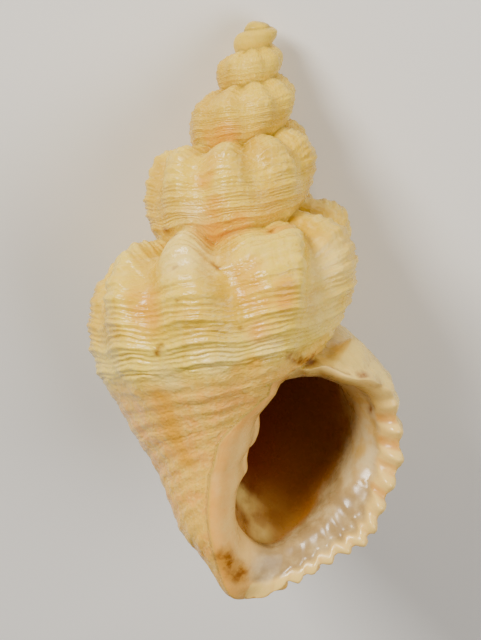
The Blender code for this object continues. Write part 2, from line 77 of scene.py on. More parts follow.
# Base of the last turn from the knee to the canal's tip, at five growth times
BASES = {
    -0.87: ((2.64, 8.45), (2.29, 9.05), (1.89, 9.64), (1.60, 10.29), (1.38, 11.09), (1.19, 12.11),
            (1.02, 13.20), (0.87, 14.29), (0.78, 14.82), (0.44, 15.16), (0.0, TIP_HEIGHT)),
    -0.75: ((2.79, 8.91), (2.40, 9.52), (2.03, 10.10), (1.74, 10.71), (1.53, 11.38), (1.33, 12.35),
            (1.16, 13.32), (0.97, 14.29), (0.80, 14.85), (0.44, 15.16), (0.0, TIP_HEIGHT)),
    -0.50: ((3.03, 9.98), (2.58, 10.60), (2.26, 11.14), (1.86, 11.70), (1.53, 12.23), (1.35, 12.96),
            (1.25, 13.61), (0.93, 14.17), (0.72, 14.63), (0.44, 15.09), (0.0, TIP_HEIGHT)),
    -0.25: ((3.49, 11.17), (2.95, 11.87), (2.47, 12.47), (2.03, 13.08), (1.67, 13.56), (1.31, 14.05),
            (1.07, 14.39), (0.92, 14.68), (0.78, 14.92), (0.44, 15.16), (0.0, TIP_HEIGHT)),
    0.0: ((3.80, 12.50), (3.37, 13.15), (2.87, 13.55), (2.37, 13.89), (1.86, 14.19), (1.44, 14.43),
          (1.07, 14.62), (0.82, 14.84), (0.58, 15.02), (0.30, 15.16), (0.0, TIP_HEIGHT)),
}
SUTURE_ON_BASE = 0.093  # v of the suture at ATTACH
KNEE_SPREAD = 0.08  # share of the base over which it leaves the side
SUTURE_SPREAD = 0.07  # and over which it is pulled onto the suture

# Axial ribs: growth times of the crests in the photograph, then even steps further back
RIB_CRESTS = (-0.03, -0.12, -0.215, -0.315, -0.415, -0.515, -0.605, -0.715, -0.82, -0.955, -1.067,
              -1.179, -1.291, -1.403, -1.515, -1.625, -1.745, -1.865, -1.975)
RIB_STEP = 0.12
LIP_RIBS = 4  # crests past the lip
LIP_RIB_STEP = 0.1
RIB_SHARPNESS = ((0.0, 0.6), (0.15, 0.75), (0.3, 1.1), (1.0, 1.1))  # (s, exponent)
RIB_SKEW = 1.6  # above 1 makes the older flank steeper
YOUNG_RIBS = 0.75  # share of their height on young whorls
RIBS_AT_LIP = 0.05  # and before the lip
SHOULDER_RIB_AT_LIP = 0.9  # and on its shoulder
RIB_TOP = 0.3  # s where RIB_GAIN takes over from RIB_TOPS
KNEE_RIBS = 0.13  # rise of the ribs at the knee
# (growth time, strength) of the ribs
RIB_GAIN = ((-1.1, 1.0), (-0.99, 0.9), (-0.835, 1.25), (-0.715, 1.25), (-0.61, 1.1), (-0.515, 0.55),
            (-0.415, 1.0))
# the same for the tops of the ribs at the suture
RIB_TOPS = ((-1.7, 1.0), (-1.515, 1.15), (-1.1, 1.0), (-0.835, 0.75), (-0.77, 0.8), (-0.74, 1.5),
            (-0.69, 1.5), (-0.66, 1.0), (-0.61, 1.1), (-0.515, 0.6), (-0.415, 1.0))
# (s, rise outwards, rise along h) of a rib's crest
RIB_RISE = ((0.0, 0.27, -0.46), (0.06, 0.19, -0.41), (0.12, 0.17, -0.44), (0.19, 0.27, -0.44),
            (0.255, 0.34, -0.39), (0.30, 0.41, -0.29), (0.35, 0.48, -0.19), (0.40, 0.51, -0.10),
            (0.47, 0.44, 0.0), (0.54, 0.34, 0.0), (0.62, 0.22, 0.0), (0.70, 0.13, 0.0),
            (0.80, 0.07, 0.0), (1.0, 0.02, 0.0))
# (s, growth time by which the crest lags): the ribs slant
RIB_SLANT = ((0.0, 0.07), (0.1, 0.062), (0.25, 0.03), (0.4, 0.005), (0.5, 0.0), (0.7, -0.012), (1.0, -0.03))
# (growth time, share of that slant)
RIB_LEAN = ((-1.0, 0.8), (-0.9, 0.4), (-0.86, -0.3), (-0.81, -0.3), (-0.77, 0.6), (-0.72, 1.0))
PUSH_FROM = 0.58  # s from which the next turn's ribs push this turn's surface
# (growth time, step outwards) of the shoulder over the plain outline
SHOULDER = ((-4.0, -0.6), (-3.0, -0.6), (-2.3, -0.25), (-1.9, 0.0), (-1.5, 0.35), (-1.0, 0.42), (-0.8, 0.0))
SHOULDER_BETWEEN = 0.35  # share of it between the ribs

# Spiral cords: heights on the side, then even steps on the base, with threads between
CORDS = (7.86, 8.20, 8.53, 8.86, 9.23, 9.65, 10.10, 10.83, 11.57, 12.26, 12.90)
CORD_STEP = 0.52
CORD_LAST = 24.0
CORD_HEIGHT = 0.095
CORD_WIDTH = 0.115
BASE_CORDS = 0.60  # share of their height on the base
BASE_CORD_GROWTH = 0.6  # share of the shell's growth that they follow
BASE_CORD_END = 0.3  # share of the base over which they run out
BETWEEN_RIBS = 0.7  # share of their height between the ribs
BEADING = 0.9  # how much higher they are where they cross a rib
CORD_ARCH = 0.15  # how far they climb over a rib
CORD_WANDER = 0.045  # how far they stray
CORD_CLIMB = 0.20  # how far they climb before the lip
# (s, height that sets the cords there): the ramp has more of them
CORD_SPACING = ((0.0, 7.80), (0.2, 8.91), (0.35, 9.54), (0.55, 10.75), (1.0, 13.47))
# (waves a turn, waves over the side, phase, strength)
STRAYING = ((9.3, 3.1, 0.0, 1.0), (17.9, -6.7, 0.3, 0.8), (31.3, 11.3, 0.7, 0.6))
WIDE_GAP = 0.42  # gaps wider than this hold three threads, others one
GAP_THREADS = {True: (0.26, 0.5, 0.74), False: (0.5,)}
THREAD_HEIGHT = 0.46  # of a cord's height
THREAD_WIDTH = 0.40  # of a cord's width
THREADS_AT_LIP = 0.2  # share of their height
GROWTH_LINES = 0.014  # height of the fine lines along the ribs
LIP_TEETH = 1.3  # how much higher the cords are at the lip's edge
LIP_TOOTH_WIDTH = 0.8  # and how much wider
PLAIN_KNOB = 0.75  # share of the cords' height that the ribs' tops do without
PLAIN_SHOULDER = 0.85  # and the lip's shoulder
CALLUS_CORDS = 0.2  # share of their height beside the callus
# (changes a unit of h, changes a turn, least, most) of a random share
SIDE_THREADS = (6, 34, 0.4, 1.6)
SIDE_CORDS = (3, 62, 0.75, 1.25)
BASE_THREADS = (6, 34, 0.4, 1.8)
BASE_BEADS = (3, 55, 0.5, 1.5)
SIDE_LINES = (0.6, 75, 0.0, 1.0)

# Where things begin or end along the spiral, as (growth time, how long it takes)
RIBS_BEGIN = (-4.5, 0.9)
RIBS_GROWN = (-2.6, 1.2)
RIBS_END = (-0.22, 0.13)
CORDS_BEGIN = (-4.2, 0.7)
CORDS_CLIMB = (-0.35, 0.35)
CORDS_STRAIGHTEN = (-0.1, 0.1)
CORDS_BY_LENGTH = (-0.4, 0.4)
THREADS_END = (-0.12, 0.1)
TEETH_BEGIN = (-0.10, 0.10)
TEETH_WIDEN = (-0.07, 0.07)
TEETH_END = (0.01, 0.03)
FLARE_BEGINS = (-0.16, 0.16)
SHOULDER_RIB_BEGINS = (-0.08, 0.05)
SHOULDER_PLAIN_FROM = (-0.14, 0.08)
COVER_ENDS = (ATTACH, 0.05)
SUTURE_ENDS = (ATTACH, 0.10)
# and across the side, as (s, over how much of it)
SKEW_BEGINS = (0.1, 0.2)
FLARE_DOWN = (0.5, 0.2)
SHOULDER_RIB = ((0.03, 0.07), (0.10, 0.14))
RAMP = ((0.0, 0.12), (0.22, 0.18))
KNOB_ENDS = (0.02, 0.12)
SHOULDER_ENDS = (0.16, 0.12)
CORD_ENDS = 0.06  # share of the side over which the cords run out
KNOB_FROM = (0.5, 0.4)  # (height of the rib, over how much of it)

# Outer lip: (s, growth time of its edge), and callus: (h, growth time of its edge)
LIP_EDGE = ((0.0, 0.13), (0.06, 0.112), (0.12, 0.09), (0.19, 0.07), (0.26, 0.042), (0.35, 0.018),
            (0.45, 0.006), (0.56, 0.0), (1.0, 0.0))
CALLUS_EDGE = ((9.06, 0.13), (9.28, 0.185), (9.69, 0.18), (10.17, 0.215), (10.78, 0.259), (11.02, 0.272),
               (11.58, 0.281), (11.84, 0.289), (12.40, 0.295), (13.39, 0.324), (14.48, 0.36), (15.23, 0.37))
CALLUS_FADES = 0.10  # share of the last turn over which they rise again
COLUMN_SQUEEZE = 0.5  # how far the callus may push the columns together
LIP_FLARE = 0.12
LIP_DEPTH = 0.10  # growth time that the inner lip reaches back
LIP_DEPTH_POWER = 2.4  # above 1 keeps its face forward
LIP_RIDGES = 0.010  # growth time by which the cords stand out on its face
LIP_STEP = 0.006  # growth time by which the glossy part lies behind the rim
RIM_WIDTHS = ((11.3, 0.36), (13.1, 0.21))  # (h, share of the lip), high and low
THROAT_AT = 0.75  # share of the lip at its narrowest ring
BEHIND_THROAT = 0.35  # how far from there to the wall it ends
CALLUS_THICKNESS = 0.05
CALLUS_THIN = 0.3  # share of the thickness at its upper end
CALLUS_THICKENS = (11.0, 1.5)  # (h, over how much of it)
CALLUS_CREST = (0.10, 0.07)  # (share of the callus, spread)
CREST_ENDS = (0.1, 0.5)  # (value of the lip mark, over how much of it)
CORDS_UNDER_CALLUS = 0.05  # share of the callus where cords show through
# how the rings over lip and callus are rounded
LIP_ROUNDNESS = 0.8
CALLUS_ROUNDNESS = 0.9
RIDGE_ROUNDNESS = 0.7
RIDGE_LENGTH = 1.15  # of the rim's width
STEP_SPAN = ((0.0, 0.08), (0.0, 0.5))  # shares of the lip behind the rim

# Hollow of the whorl: outer wall, the narrowest ring of the lip, and the columella with its two folds
HOLLOW_WALL = ((2.30, 8.91), (2.62, 9.01), (2.93, 9.18), (3.20, 9.42), (3.44, 9.83), (3.66, 10.34),
               (3.80, 10.85), (3.83, 11.38), (3.70, 11.87), (3.45, 12.25), (3.02, 12.74), (2.55, 13.14),
               (2.10, 13.45), (1.66, 13.70), (1.22, 13.88), (0.86, 13.98), (0.60, 13.95))
LIP_THROAT = ((1.74, 9.54), (2.03, 9.57), (2.36, 9.66), (2.72, 9.80), (3.03, 10.08), (3.26, 10.45),
              (3.38, 10.90), (3.38, 11.33), (3.27, 11.77), (3.08, 12.14), (2.77, 12.66), (2.42, 13.08),
              (2.04, 13.40), (1.62, 13.68), (1.20, 13.90), (0.86, 14.02), (0.60, 13.95))
COLUMELLA = ((2.30, 8.91), (1.94, 9.18), (1.60, 9.45), (1.26, 9.69), (0.97, 10.00), (0.78, 10.34),
             (0.75, 10.66), (0.82, 10.97), (0.65, 11.29), (0.48, 11.53), (0.53, 11.84), (0.34, 12.16),
             (0.19, 12.47), (0.12, 12.84), (0.12, 13.20), (0.24, 13.62), (0.60, 13.95))
COLUMELLA_EDGE = ((1.74, 9.54), (1.33, 9.57), (0.99, 9.91), (0.80, 10.22), (0.70, 10.45), (0.76, 10.72),
                  (0.83, 10.96), (0.74, 11.25), (0.53, 11.54), (0.56, 11.74), (0.62, 11.94), (0.50, 12.18),
                  (0.27, 12.68), (0.14, 13.05), (0.08, 13.39), (0.22, 13.70), (0.60, 13.95))
CALLUS_SPREAD = 0.7  # share of the callus in front of the hollow
CANAL_SINK = 0.14  # growth time by which the canal's floor lies back
CANAL_SINKS = (12.7, 1.1)  # (h, over how much of it)
TIP_TIME = 0.14  # growth time of the canal's tip
TIP_REACH = 0.1  # share of the aperture's loop softened beside it
SOFTENING_GROWS = 0.2  # over this share of the lip
SOFTENED_PART = 16  # over one part in so many of the loop
LIP_BLEND = (28, 12)  # the same for lip into callus, at suture and tip
HOLLOW_END = -3.4  # growth time where it closes
HOLLOW_SPACING = 1.25  # above 1 sets its rings closer near the lip
THROAT_FADES = 0.16  # growth time over which the throat widens
RING_GAP = 1e-4  # least growth time between rings
RINGS_ALIGN = 0.12  # share of the hollow where rings level out

# Grid, before it is thinned to the triangle count
COLUMNS = 240
SIDE_ROWS = 150
SUTURE_ROWS = 10
BASE_ROWS = 150
LIP_RINGS = 36
HOLLOW_RINGS = 40
CAP_RINGS = 8
TRIANGLES = 190000
NORMAL_STEP = 1e-3  # share of an outline over which its direction is taken

# What points up as it lies, in the shell's own frame (right, apex, aperture)
REST_UP = (0.025, -0.395, 0.918)

# The photograph's view of the shell's own frame
PHOTO_WIDTH, PHOTO_HEIGHT = 481, 640
MM_PER_PIXEL = 0.02422
CAMERA_DISTANCE_PIXELS = 2200
CAMERA_TILT = math.radians(9.0)  # the apex leans towards the camera
CAMERA_ROLL = 0.0681
PIVOT_PIXEL = (233.85, 319.4)  # where the photograph shows the axis at PIVOT_HEIGHT
PIVOT_HEIGHT = 8.283


def smooth(x):
    """Ease from 0 to 1."""
    x = np.clip(x, 0.0, 1.0)
    return x*x*(3.0 - 2.0*x)


def ease(x, start, length):
    """Ease from 0 at the start to 1 after the length."""
    return smooth((x - start)/length)


def hump(x, rise, fall):
    """Ease from 0 to 1 and back, over two spans of (start, length)."""
    return ease(x, *rise)*(1 - ease(x, *fall))


def table(pairs, x):
    """Straight lines between (key, value) pairs."""
    keys, values = zip(*pairs)
    return np.interp(x, keys, values)


def cubic(u, gap, start, end, start_slope, end_slope):
    """Value at the share u of a gap, for the values and slopes at its ends."""
    ends = (2*u**3 - 3*u**2 + 1)*start + (3*u**2 - 2*u**3)*end
    return ends + gap*((u**3 - 2*u**2 + u)*start_slope + (u**3 - u**2)*end_slope)


def through(keys, values, x):
    """Smooth curve through values at rising keys."""
    keys = np.asarray(keys, float)
    values = np.asarray(values, float)
    x = np.clip(np.asarray(x, float), keys[0], keys[-1])
    gaps = np.diff(keys)[:, None]
    rates = np.diff(values, axis=0)/gaps
    slopes = np.empty_like(values)
    slopes[1:-1] = (rates[:-1]*gaps[1:] + rates[1:]*gaps[:-1])/(gaps[1:] + gaps[:-1])
    slopes[0] = 1.5*rates[0] - 0.5*slopes[1]
    slopes[-1] = 1.5*rates[-1] - 0.5*slopes[-2]
    i = np.clip(np.searchsorted(keys, x, side='right') - 1, 0, len(keys) - 2)
    gap = (keys[i + 1] - keys[i])[..., None]
    u = (x - keys[i])[..., None]/gap
    return cubic(u, gap, values[i], values[i + 1], slopes[i], slopes[i + 1])


def curve(rows, x):
    """Smooth curve through rows of a key and its values."""
    rows = np.array(rows)
    return through(rows[:, 0], rows[:, 1:], x)


def arc_fractions(points):
    """Length along a polyline at each of its points, as a fraction of the whole."""
    steps = np.linalg.norm(np.diff(np.asarray(points, float), axis=0), axis=1)
    length = np.concatenate([[0.0], np.cumsum(steps)])
    return length/length[-1]


UNEVEN = np.random.default_rng(5).random((128, 1024))


def uneven(down, across):
    """Smooth random values from 0 to 1 that change over about 1 in each direction."""
    down, across = arrays(down, across)
    i, j = np.floor(down).astype(int), np.floor(across).astype(int)
    u, v = smooth(down - i), smooth(across - j)
    rows, columns = UNEVEN.shape

    def corner(a, b):
        return UNEVEN[(i + a) % rows, (j + b) % columns]

    return (corner(0, 0)*(1 - u) + corner(1, 0)*u)*(1 - v) + (corner(0, 1)*(1 - u) + corner(1, 1)*u)*v


def varied(height, t, changes_down, changes_around, least, most):
    """Random share from least to most."""
    return least + (most - least)*uneven(changes_down*height, changes_around*t)


def along(points, fraction):
    """Smooth curve through points, by fraction of its length."""
    return through(arc_fractions(points), points, fraction)


def outward(line, x, step):
    """Unit normal of a curve in the (r, h) plane, pointing out of the shell."""
    run = line(np.clip(x + step, 0, 1)) - line(np.clip(x - step, 0, 1))
    run = run/np.linalg.norm(run, axis=-1, keepdims=True)
    return np.stack([run[..., 1], -run[..., 0]], axis=-1)


def arrays(*values):
    """The values as arrays of one shape."""
    return np.broadcast_arrays(*(np.asarray(value, float) for value in values))


def grown(t):
    """Size at growth time t, where it is 1 at the lip."""
    return np.exp(GROWTH*t)


def rib_crests():
    """Growth times of all rib crests in rising order, with a few past the lip."""
    crests = list(RIB_CRESTS)
    while crests[-1] > FIRST_TURN - 3*RIB_STEP:
        crests.append(crests[-1] - RIB_STEP)
    past_lip = [RIB_CRESTS[0] + LIP_RIB_STEP*(i + 1) for i in range(LIP_RIBS)]
    return np.array(sorted(crests + past_lip))


CRESTS = rib_crests()
AWAY_FROM_AXIS = np.array([1.0, 0.0])  # direction of growing r, in outline points


def rib_height(t, s):
    """Height of the ribs, 0 between them and 1 on a crest."""
    t, s = arrays(t, s)
    t = t - table(RIB_SLANT, s)*table(RIB_LEAN, t)
    i = np.clip(np.searchsorted(CRESTS, t, side='right') - 1, 0, len(CRESTS) - 2)
    phase = np.clip((t - CRESTS[i])/(CRESTS[i + 1] - CRESTS[i]), 0, 1)
    phase = phase**(1 + (RIB_SKEW - 1)*ease(s, *SKEW_BEGINS))
    wave = (0.5 + 0.5*np.cos(2*np.pi*phase))**table(RIB_SHARPNESS, s)
    young = ease(t, *RIBS_BEGIN)*(YOUNG_RIBS + (1 - YOUNG_RIBS)*ease(t, *RIBS_GROWN))
    on_shoulder = hump(s, *SHOULDER_RIB)*ease(t, *SHOULDER_RIB_BEGINS)
    left = RIBS_AT_LIP + (SHOULDER_RIB_AT_LIP - RIBS_AT_LIP)*on_shoulder
    before_lip = 1 - ease(t, *RIBS_END)*(1 - left)
    at_top = 1 - ease(s, 0.0, RIB_TOP)
    strength = table(RIB_GAIN, t)*(1 - at_top) + table(RIB_TOPS, t)*at_top
    return wave*young*before_lip*strength


def cord_heights():
    """Heights of all cords, from the shoulder down."""
    cords = list(CORDS)
    while cords[-1] < CORD_LAST:
        cords.append(cords[-1] + CORD_STEP)
    return np.array(cords)


def cord_profile(height, threads=THREAD_HEIGHT, wider=0.0):
    """Height of the cords, 0 to 1, at a height as at t = 0, with finer threads between."""
    cords = cord_heights()
    width = CORD_WIDTH*(1 + wider)
    profile = sum(np.exp(-((height - cord)/width)**2) for cord in cords)
    for upper, lower in zip(cords[:-1], cords[1:]):
        for share in GAP_THREADS[bool(lower - upper > WIDE_GAP)]:
            middle = upper + share*(lower - upper)
            profile = profile + threads*np.exp(-((height - middle)/(CORD_WIDTH*THREAD_WIDTH))**2)
    return profile


def cord_climb(t):
    """How far the cords have climbed towards the suture."""
    return CORD_CLIMB*ease(t, *CORDS_CLIMB)


def wander(t, s):
    """Slow waves, between -1 and 1, that keep cords and threads from running quite even."""
    waves = [strength*np.sin(2*np.pi*(around*t + across*s + phase))
             for around, across, phase, strength in STRAYING]
    return sum(waves)/sum(row[-1] for row in STRAYING)


def teeth(t, gain):
    """Factor on the cords: 1, and more by gain at the lip."""
    return 1 + gain*hump(t, TEETH_BEGIN, TEETH_END)


def threads_and_widening(t):
    """Height of the threads, which fade before the lip, and how much wider the cords are at it."""
    fading = 1 - (1 - THREADS_AT_LIP)*ease(t, *THREADS_END)
    return THREAD_HEIGHT*fading, LIP_TOOTH_WIDTH*hump(t, TEETH_WIDEN, TEETH_END)


def straying(t, s):
    """How far cords and threads stray up and down, which ends before the lip."""
    return CORD_WANDER*wander(t, s)*(1 - ease(t, *CORDS_STRAIGHTEN))


def cord_place(t, s):
    """The height that sets the cords on the side, with the ramp spread out."""
    arch = CORD_ARCH*rib_height(t, s)*(1 - ease(t, *CORDS_STRAIGHTEN))
    return table(CORD_SPACING, s) + cord_climb(t) + arch + straying(t, s)


def side_relief(t, s, ribs, height):
    """How far cords, threads and growth lines stand out of the side, where height sets the cords."""
    ends = smooth(s/CORD_ENDS)*smooth((1 - s)/CORD_ENDS)*ease(t, *CORDS_BEGIN)
    threads, wider = threads_and_widening(t)
    cords = cord_profile(height, threads*varied(height, t, *SIDE_THREADS), wider)
    cords = cords*(BETWEEN_RIBS + BEADING*ribs)*varied(height, t, *SIDE_CORDS)*teeth(t, LIP_TEETH)
    plain_knob = PLAIN_KNOB*ease(ribs, *KNOB_FROM)*(1 - ease(s, *KNOB_ENDS))
    plain_shoulder = PLAIN_SHOULDER*ease(t, *SHOULDER_PLAIN_FROM)*(1 - ease(s, *SHOULDER_ENDS))
    cords = CORD_HEIGHT*cords*(1 - np.maximum(plain_knob, plain_shoulder))
    lines = GROWTH_LINES*varied(height, t - table(RIB_SLANT, s), *SIDE_LINES)
    return (cords + lines)*ends


def side_point(t, s):
    """Outline point on the side of the whorl."""
    t, s = arrays(t, s)
    rise = curve(RIB_RISE, s)
    ribs = rib_height(t, s)
    # the ribs of the next turn push the suture up this turn's surface
    near_suture = smooth((s - PUSH_FROM)/(1 - PUSH_FROM))*(1 - ease(t, *COVER_ENDS))
    crest_top = np.array(RIB_RISE[0][1:])
    push = (grown(1.0)*rib_height(t + 1, 0.0)*near_suture)[..., None]*crest_top
    point = along(SIDE, s) + rise*(ribs*(1 - near_suture))[..., None] + push
    relief = side_relief(t, s, ribs, cord_place(t, s) + push[..., 1])
    point = point + outward(lambda x: along(SIDE, x), s, NORMAL_STEP)*relief[..., None]
    step = table(SHOULDER, t)*hump(s, *RAMP)*(SHOULDER_BETWEEN + (1 - SHOULDER_BETWEEN)*ribs)
    flare = LIP_FLARE*ease(t, *FLARE_BEGINS)*ease(s, *FLARE_DOWN)
    point = point + (step + flare)[..., None]*AWAY_FROM_AXIS
    return point*grown(t)[..., None]


def base_outline(t, v):
    """The smooth base between the given outlines."""
    keys = np.array(sorted(BASES))
    outlines = np.array([along(BASES[key], v) for key in keys])
    rates = np.diff(outlines, axis=0)/np.diff(keys).reshape((-1,) + (1,)*(outlines.ndim - 1))
    slopes = np.concatenate([rates[:1], 0.5*(rates[:-1] + rates[1:]), rates[-1:]])
    x = np.clip(t, keys[0], keys[-1])
    i = np.clip(np.searchsorted(keys, x, side='right') - 1, 0, len(keys) - 2)

    def pick(stack, index):
        shape = (1,) + outlines.shape[1:]
        return np.take_along_axis(stack, np.broadcast_to(index[None, ..., None], shape), axis=0)[0]

    gap = (keys[i + 1] - keys[i])[..., None]
    u = (x - keys[i])[..., None]/gap
    return cubic(u, gap, *(pick(stack, k) for stack in (outlines, slopes) for k in (i, i + 1)))


def base_cord_place(t, v, height):
    """The height that sets the cords on the base. Near the lip it follows the base's length instead."""
    keys = sorted(BASES)
    lengths = [np.linalg.norm(np.diff(np.array(BASES[key]), axis=0), axis=1).sum() for key in keys]
    by_length = BASES[0.0][0][1] + v*np.interp(t, keys, lengths)/grown(t)
    near_lip = ease(t, *CORDS_BY_LENGTH)
    return height/grown(t)*(1 - near_lip) + by_length*near_lip + cord_climb(t) + straying(t, v)


def base_point(t, v, cords=1.0):
    """Outline point on the base of the last turn, joined to the side at v = 0."""
    t, v = arrays(t, v)
    size = grown(t)[..., None]
    knee = along(SIDE, np.array([KNEE]))[0]*size - base_outline(t, 0*v)
    point = base_outline(t, v) + knee*np.exp(-(v/KNEE_SPREAD)**2)[..., None]
    # at the lip's upper end the base starts on the suture itself
    at_suture = base_outline(t, SUTURE_ON_BASE + 0*v) + knee*np.exp(-(SUTURE_ON_BASE/KNEE_SPREAD)**2)
    pull = np.exp(-((v - SUTURE_ON_BASE)/SUTURE_SPREAD)**2)*smooth(v/SUTURE_ON_BASE)
    pull = pull*(1 - ease(t, *SUTURE_ENDS))
    point = point + (np.array(SIDE[-1])*size - at_suture)*pull[..., None]
    normal = outward(lambda x: base_outline(t, x), v, 2*NORMAL_STEP)
    height = base_cord_place(t, v, point[..., 1])
    threads, wider = threads_and_widening(t)
    lift = cord_profile(height, threads*varied(height, t, *BASE_THREADS), wider)
    lift = lift*varied(height, t, *BASE_BEADS)*teeth(t, 2*LIP_TEETH)*smooth((1 - v)/BASE_CORD_END)
    lift = lift*cords*BASE_CORDS*CORD_HEIGHT*grown(BASE_CORD_GROWTH*t)
    ribs = grown(t)*KNEE_RIBS*(1 - v)**3*rib_height(t, KNEE)
    flare = grown(t)*LIP_FLARE*ease(t, *FLARE_BEGINS)*(1 - v)**2
    return point + normal*lift[..., None] + (ribs + flare)[..., None]*AWAY_FROM_AXIS


def round_apex(point):
    """Keep the first whorls clear of the point where the spiral would vanish."""
    return np.stack([point[..., 0], np.hypot(point[..., 1], APEX_FLATTENING)], axis=-1)


def place(point, t):
    """From outline and growth time to the shell's own frame: right, apex, aperture."""
    angle = 2*np.pi*np.asarray(t, float)
    r, h = point[..., 0], point[..., 1]
    r = r*table(SLIMNESS, h)
    bend = CANAL_BEND*smooth((h - CANAL_BEND_FROM)/(TIP_HEIGHT - CANAL_BEND_FROM)) + table(AXIS_WANDER, h)
    return np.stack([r*np.cos(angle) + bend, -h, r*np.sin(angle)], axis=-1)


# What the material reads at each point: growth time, h as at t = 0, height of rib and cord, depth into the
# aperture (1 at the end of the lip, 2 where the hollow closes), and 1 on the lip but 0 on the callus
MARKS = ("turn", "down", "rib", "cord", "depth", "lip")
BASE_RIB_MARK = 0.3  # strongest rib mark on the base


class Surface:
    """Vertices with their marks, and faces, as they are added."""

    def __init__(self):
        self.points = []
        self.marks = []
        self.faces = []

    def add(self, point, marks):
        self.points.append(tuple(float(c) for c in point))
        self.marks.append(marks)
        return len(self.points) - 1

    def face(self, *corners):
        kept = tuple(dict.fromkeys(corners))
        if len(kept) > 2:
            self.faces.append(kept)

    def strip(self, first, second, closed=False):
        """Faces between two rows of equal length."""
        for a in range(len(first) if closed else len(first) - 1):
            b = (a + 1) % len(first)
            self.face(first[a], second[a], second[b], first[b])


def outer_marks(times, heights, ribs, cords):
    """Marks of points on the outside."""
    times, heights, ribs, cords = np.broadcast_arrays(times, heights, ribs, cords)
    nothing = np.zeros(times.shape)
    return np.stack([times, heights, ribs, cords, nothing, nothing], axis=-1)


def spire(surface, side_rows):
    """Covered turns. A turn's lower row is the next turn's upper row. Returns the grid of indices."""
    count = math.ceil((ATTACH - FIRST_TURN)*COLUMNS)
    times = (ATTACH - np.arange(count, -1, -1)/COLUMNS)[:, None]
    rows = side_rows[None, :]
    below = side_point(times, rows[:, -1:])
    opening = smooth((times - times[0])/FIRST_OPENS)[..., None]
    outline = below + (side_point(times, rows) - below)*opening
    points = place(round_apex(outline), times)
    cords = cord_profile(cord_place(times, rows))
    marks = outer_marks(times, along(SIDE, rows)[..., 1], rib_height(times, rows), cords)
    grid = np.empty((count + 1, len(side_rows)), int)
    for j in range(count + 1):
        for i in range(len(side_rows)):
            if i == 0 and j >= COLUMNS:
                grid[j, i] = grid[j - COLUMNS, -1]
            elif j == 0 and i > 0:
                grid[j, i] = grid[0, 0]
            else:
                grid[j, i] = surface.add(points[j, i], marks[j, i])
    for j in range(count):
        surface.strip(grid[j], grid[j + 1])
    return grid


def close_apex(surface, grid):
    """A low dome over the start of the first whorl."""
    loop = [grid[j, 0] for j in range(COLUMNS)]
    rim = np.array([surface.points[i] for i in loop])
    marks = surface.marks[grid[0, 0]]
    height = -rim[:, 1].max() - NUCLEUS_RISE
    top = np.array([table(AXIS_WANDER, height), -height, 0.0])
    previous = loop
    for k in range(1, CAP_RINGS):
        f = math.sin(0.5*math.pi*k/CAP_RINGS)
        inwards = 1 - math.cos(0.5*math.pi*k/CAP_RINGS)
        ring = rim*(1 - inwards) + top*inwards
        ring[:, 1] = rim[:, 1] + (top[1] - rim[:, 1])*f
        current = [surface.add(point, marks) for point in ring]
        surface.strip(current, previous, closed=True)
        previous = current
    centre = surface.add(top, marks)
    surface.strip([centre]*len(previous), previous, closed=True)


def callus_edge_time(base_rows):
    """Growth time of the callus edge on the turn before, for each row of the base."""
    times = np.full(len(base_rows), CALLUS_EDGE[0][1])
    for _ in range(4):
        heights = base_point(-1 + times, base_rows, cords=0)[:, 1]
        times = table(CALLUS_EDGE, heights)
        times[:SUTURE_ROWS] = CALLUS_EDGE[0][1]
    return times


def last_turn(surface, grid, side_rows, base_rows):
    """Open last turn from the callus edge to the lip. Returns indices, outline points and times."""
    turn = np.linspace(0.0, 1.0, COLUMNS + 1)[:, None]
    lip = curve(LIP_EDGE, side_rows)[:, 0]
    lip[0] = 1 + ATTACH
    side_times = ATTACH + turn*(lip - ATTACH)
    shift = -1 + callus_edge_time(base_rows) - ATTACH
    fading = np.maximum(1.0, -COLUMN_SQUEEZE*ATTACH/np.maximum(np.abs(shift), 1e-6))
    base_times = ATTACH*(1 - turn) + shift*(1 - turn)**fading
    times = np.concatenate([side_times, base_times], axis=1)
    bare = CALLUS_CORDS + (1 - CALLUS_CORDS)*smooth(turn/CALLUS_FADES)
    base = base_point(base_times, base_rows, bare)
    outline = np.concatenate([side_point(side_times, side_rows), base], axis=1)
    base_ribs = BASE_RIB_MARK*rib_height(base_times, KNEE)*(1 - base_rows)
    ribs = np.concatenate([rib_height(side_times, side_rows), base_ribs], axis=1)
    heights = base_point(base_times, base_rows, cords=0)[..., 1]
    base_cords = cord_profile(base_cord_place(base_times, base_rows, heights))
    cords = np.concatenate([cord_profile(cord_place(side_times, side_rows)), base_cords], axis=1)
    marks = outer_marks(times, outline[..., 1]/grown(times), ribs, cords)
    outline = round_apex(outline)
    points = place(outline, times)
    joined = len(side_rows) + SUTURE_ROWS
    indices = np.empty(times.shape, int)
    tip = surface.add((CANAL_BEND, -TIP_HEIGHT, 0.0), marks[-1, -1])
    for j in range(COLUMNS + 1):
        for i in range(times.shape[1]):
            if i == times.shape[1] - 1:
                indices[j, i] = tip
            elif i == 0:
                indices[j, i] = grid[len(grid) - 1 - COLUMNS + j, -1]
            elif j == 0 and i < joined:
                indices[j, i] = grid[-1, i]
            else:
                indices[j, i] = surface.add(points[j, i], marks[j, i])
    for j in range(COLUMNS):
        surface.strip(indices[j], indices[j + 1])
    return indices, outline, times


def spread(values, width):
    """Running mean around a closed loop."""
    padded = np.concatenate([values[-width:], values, values[:width]])
    return np.convolve(padded, np.ones(2*width + 1)/(2*width + 1), 'valid')


def softened(points, share, width):
    """Points of a ring moved to their running mean by the given share."""
    mean = np.stack([spread(points[:, axis], width) for axis in range(3)], axis=-1)
    return points + (mean - points)*share[:, None]


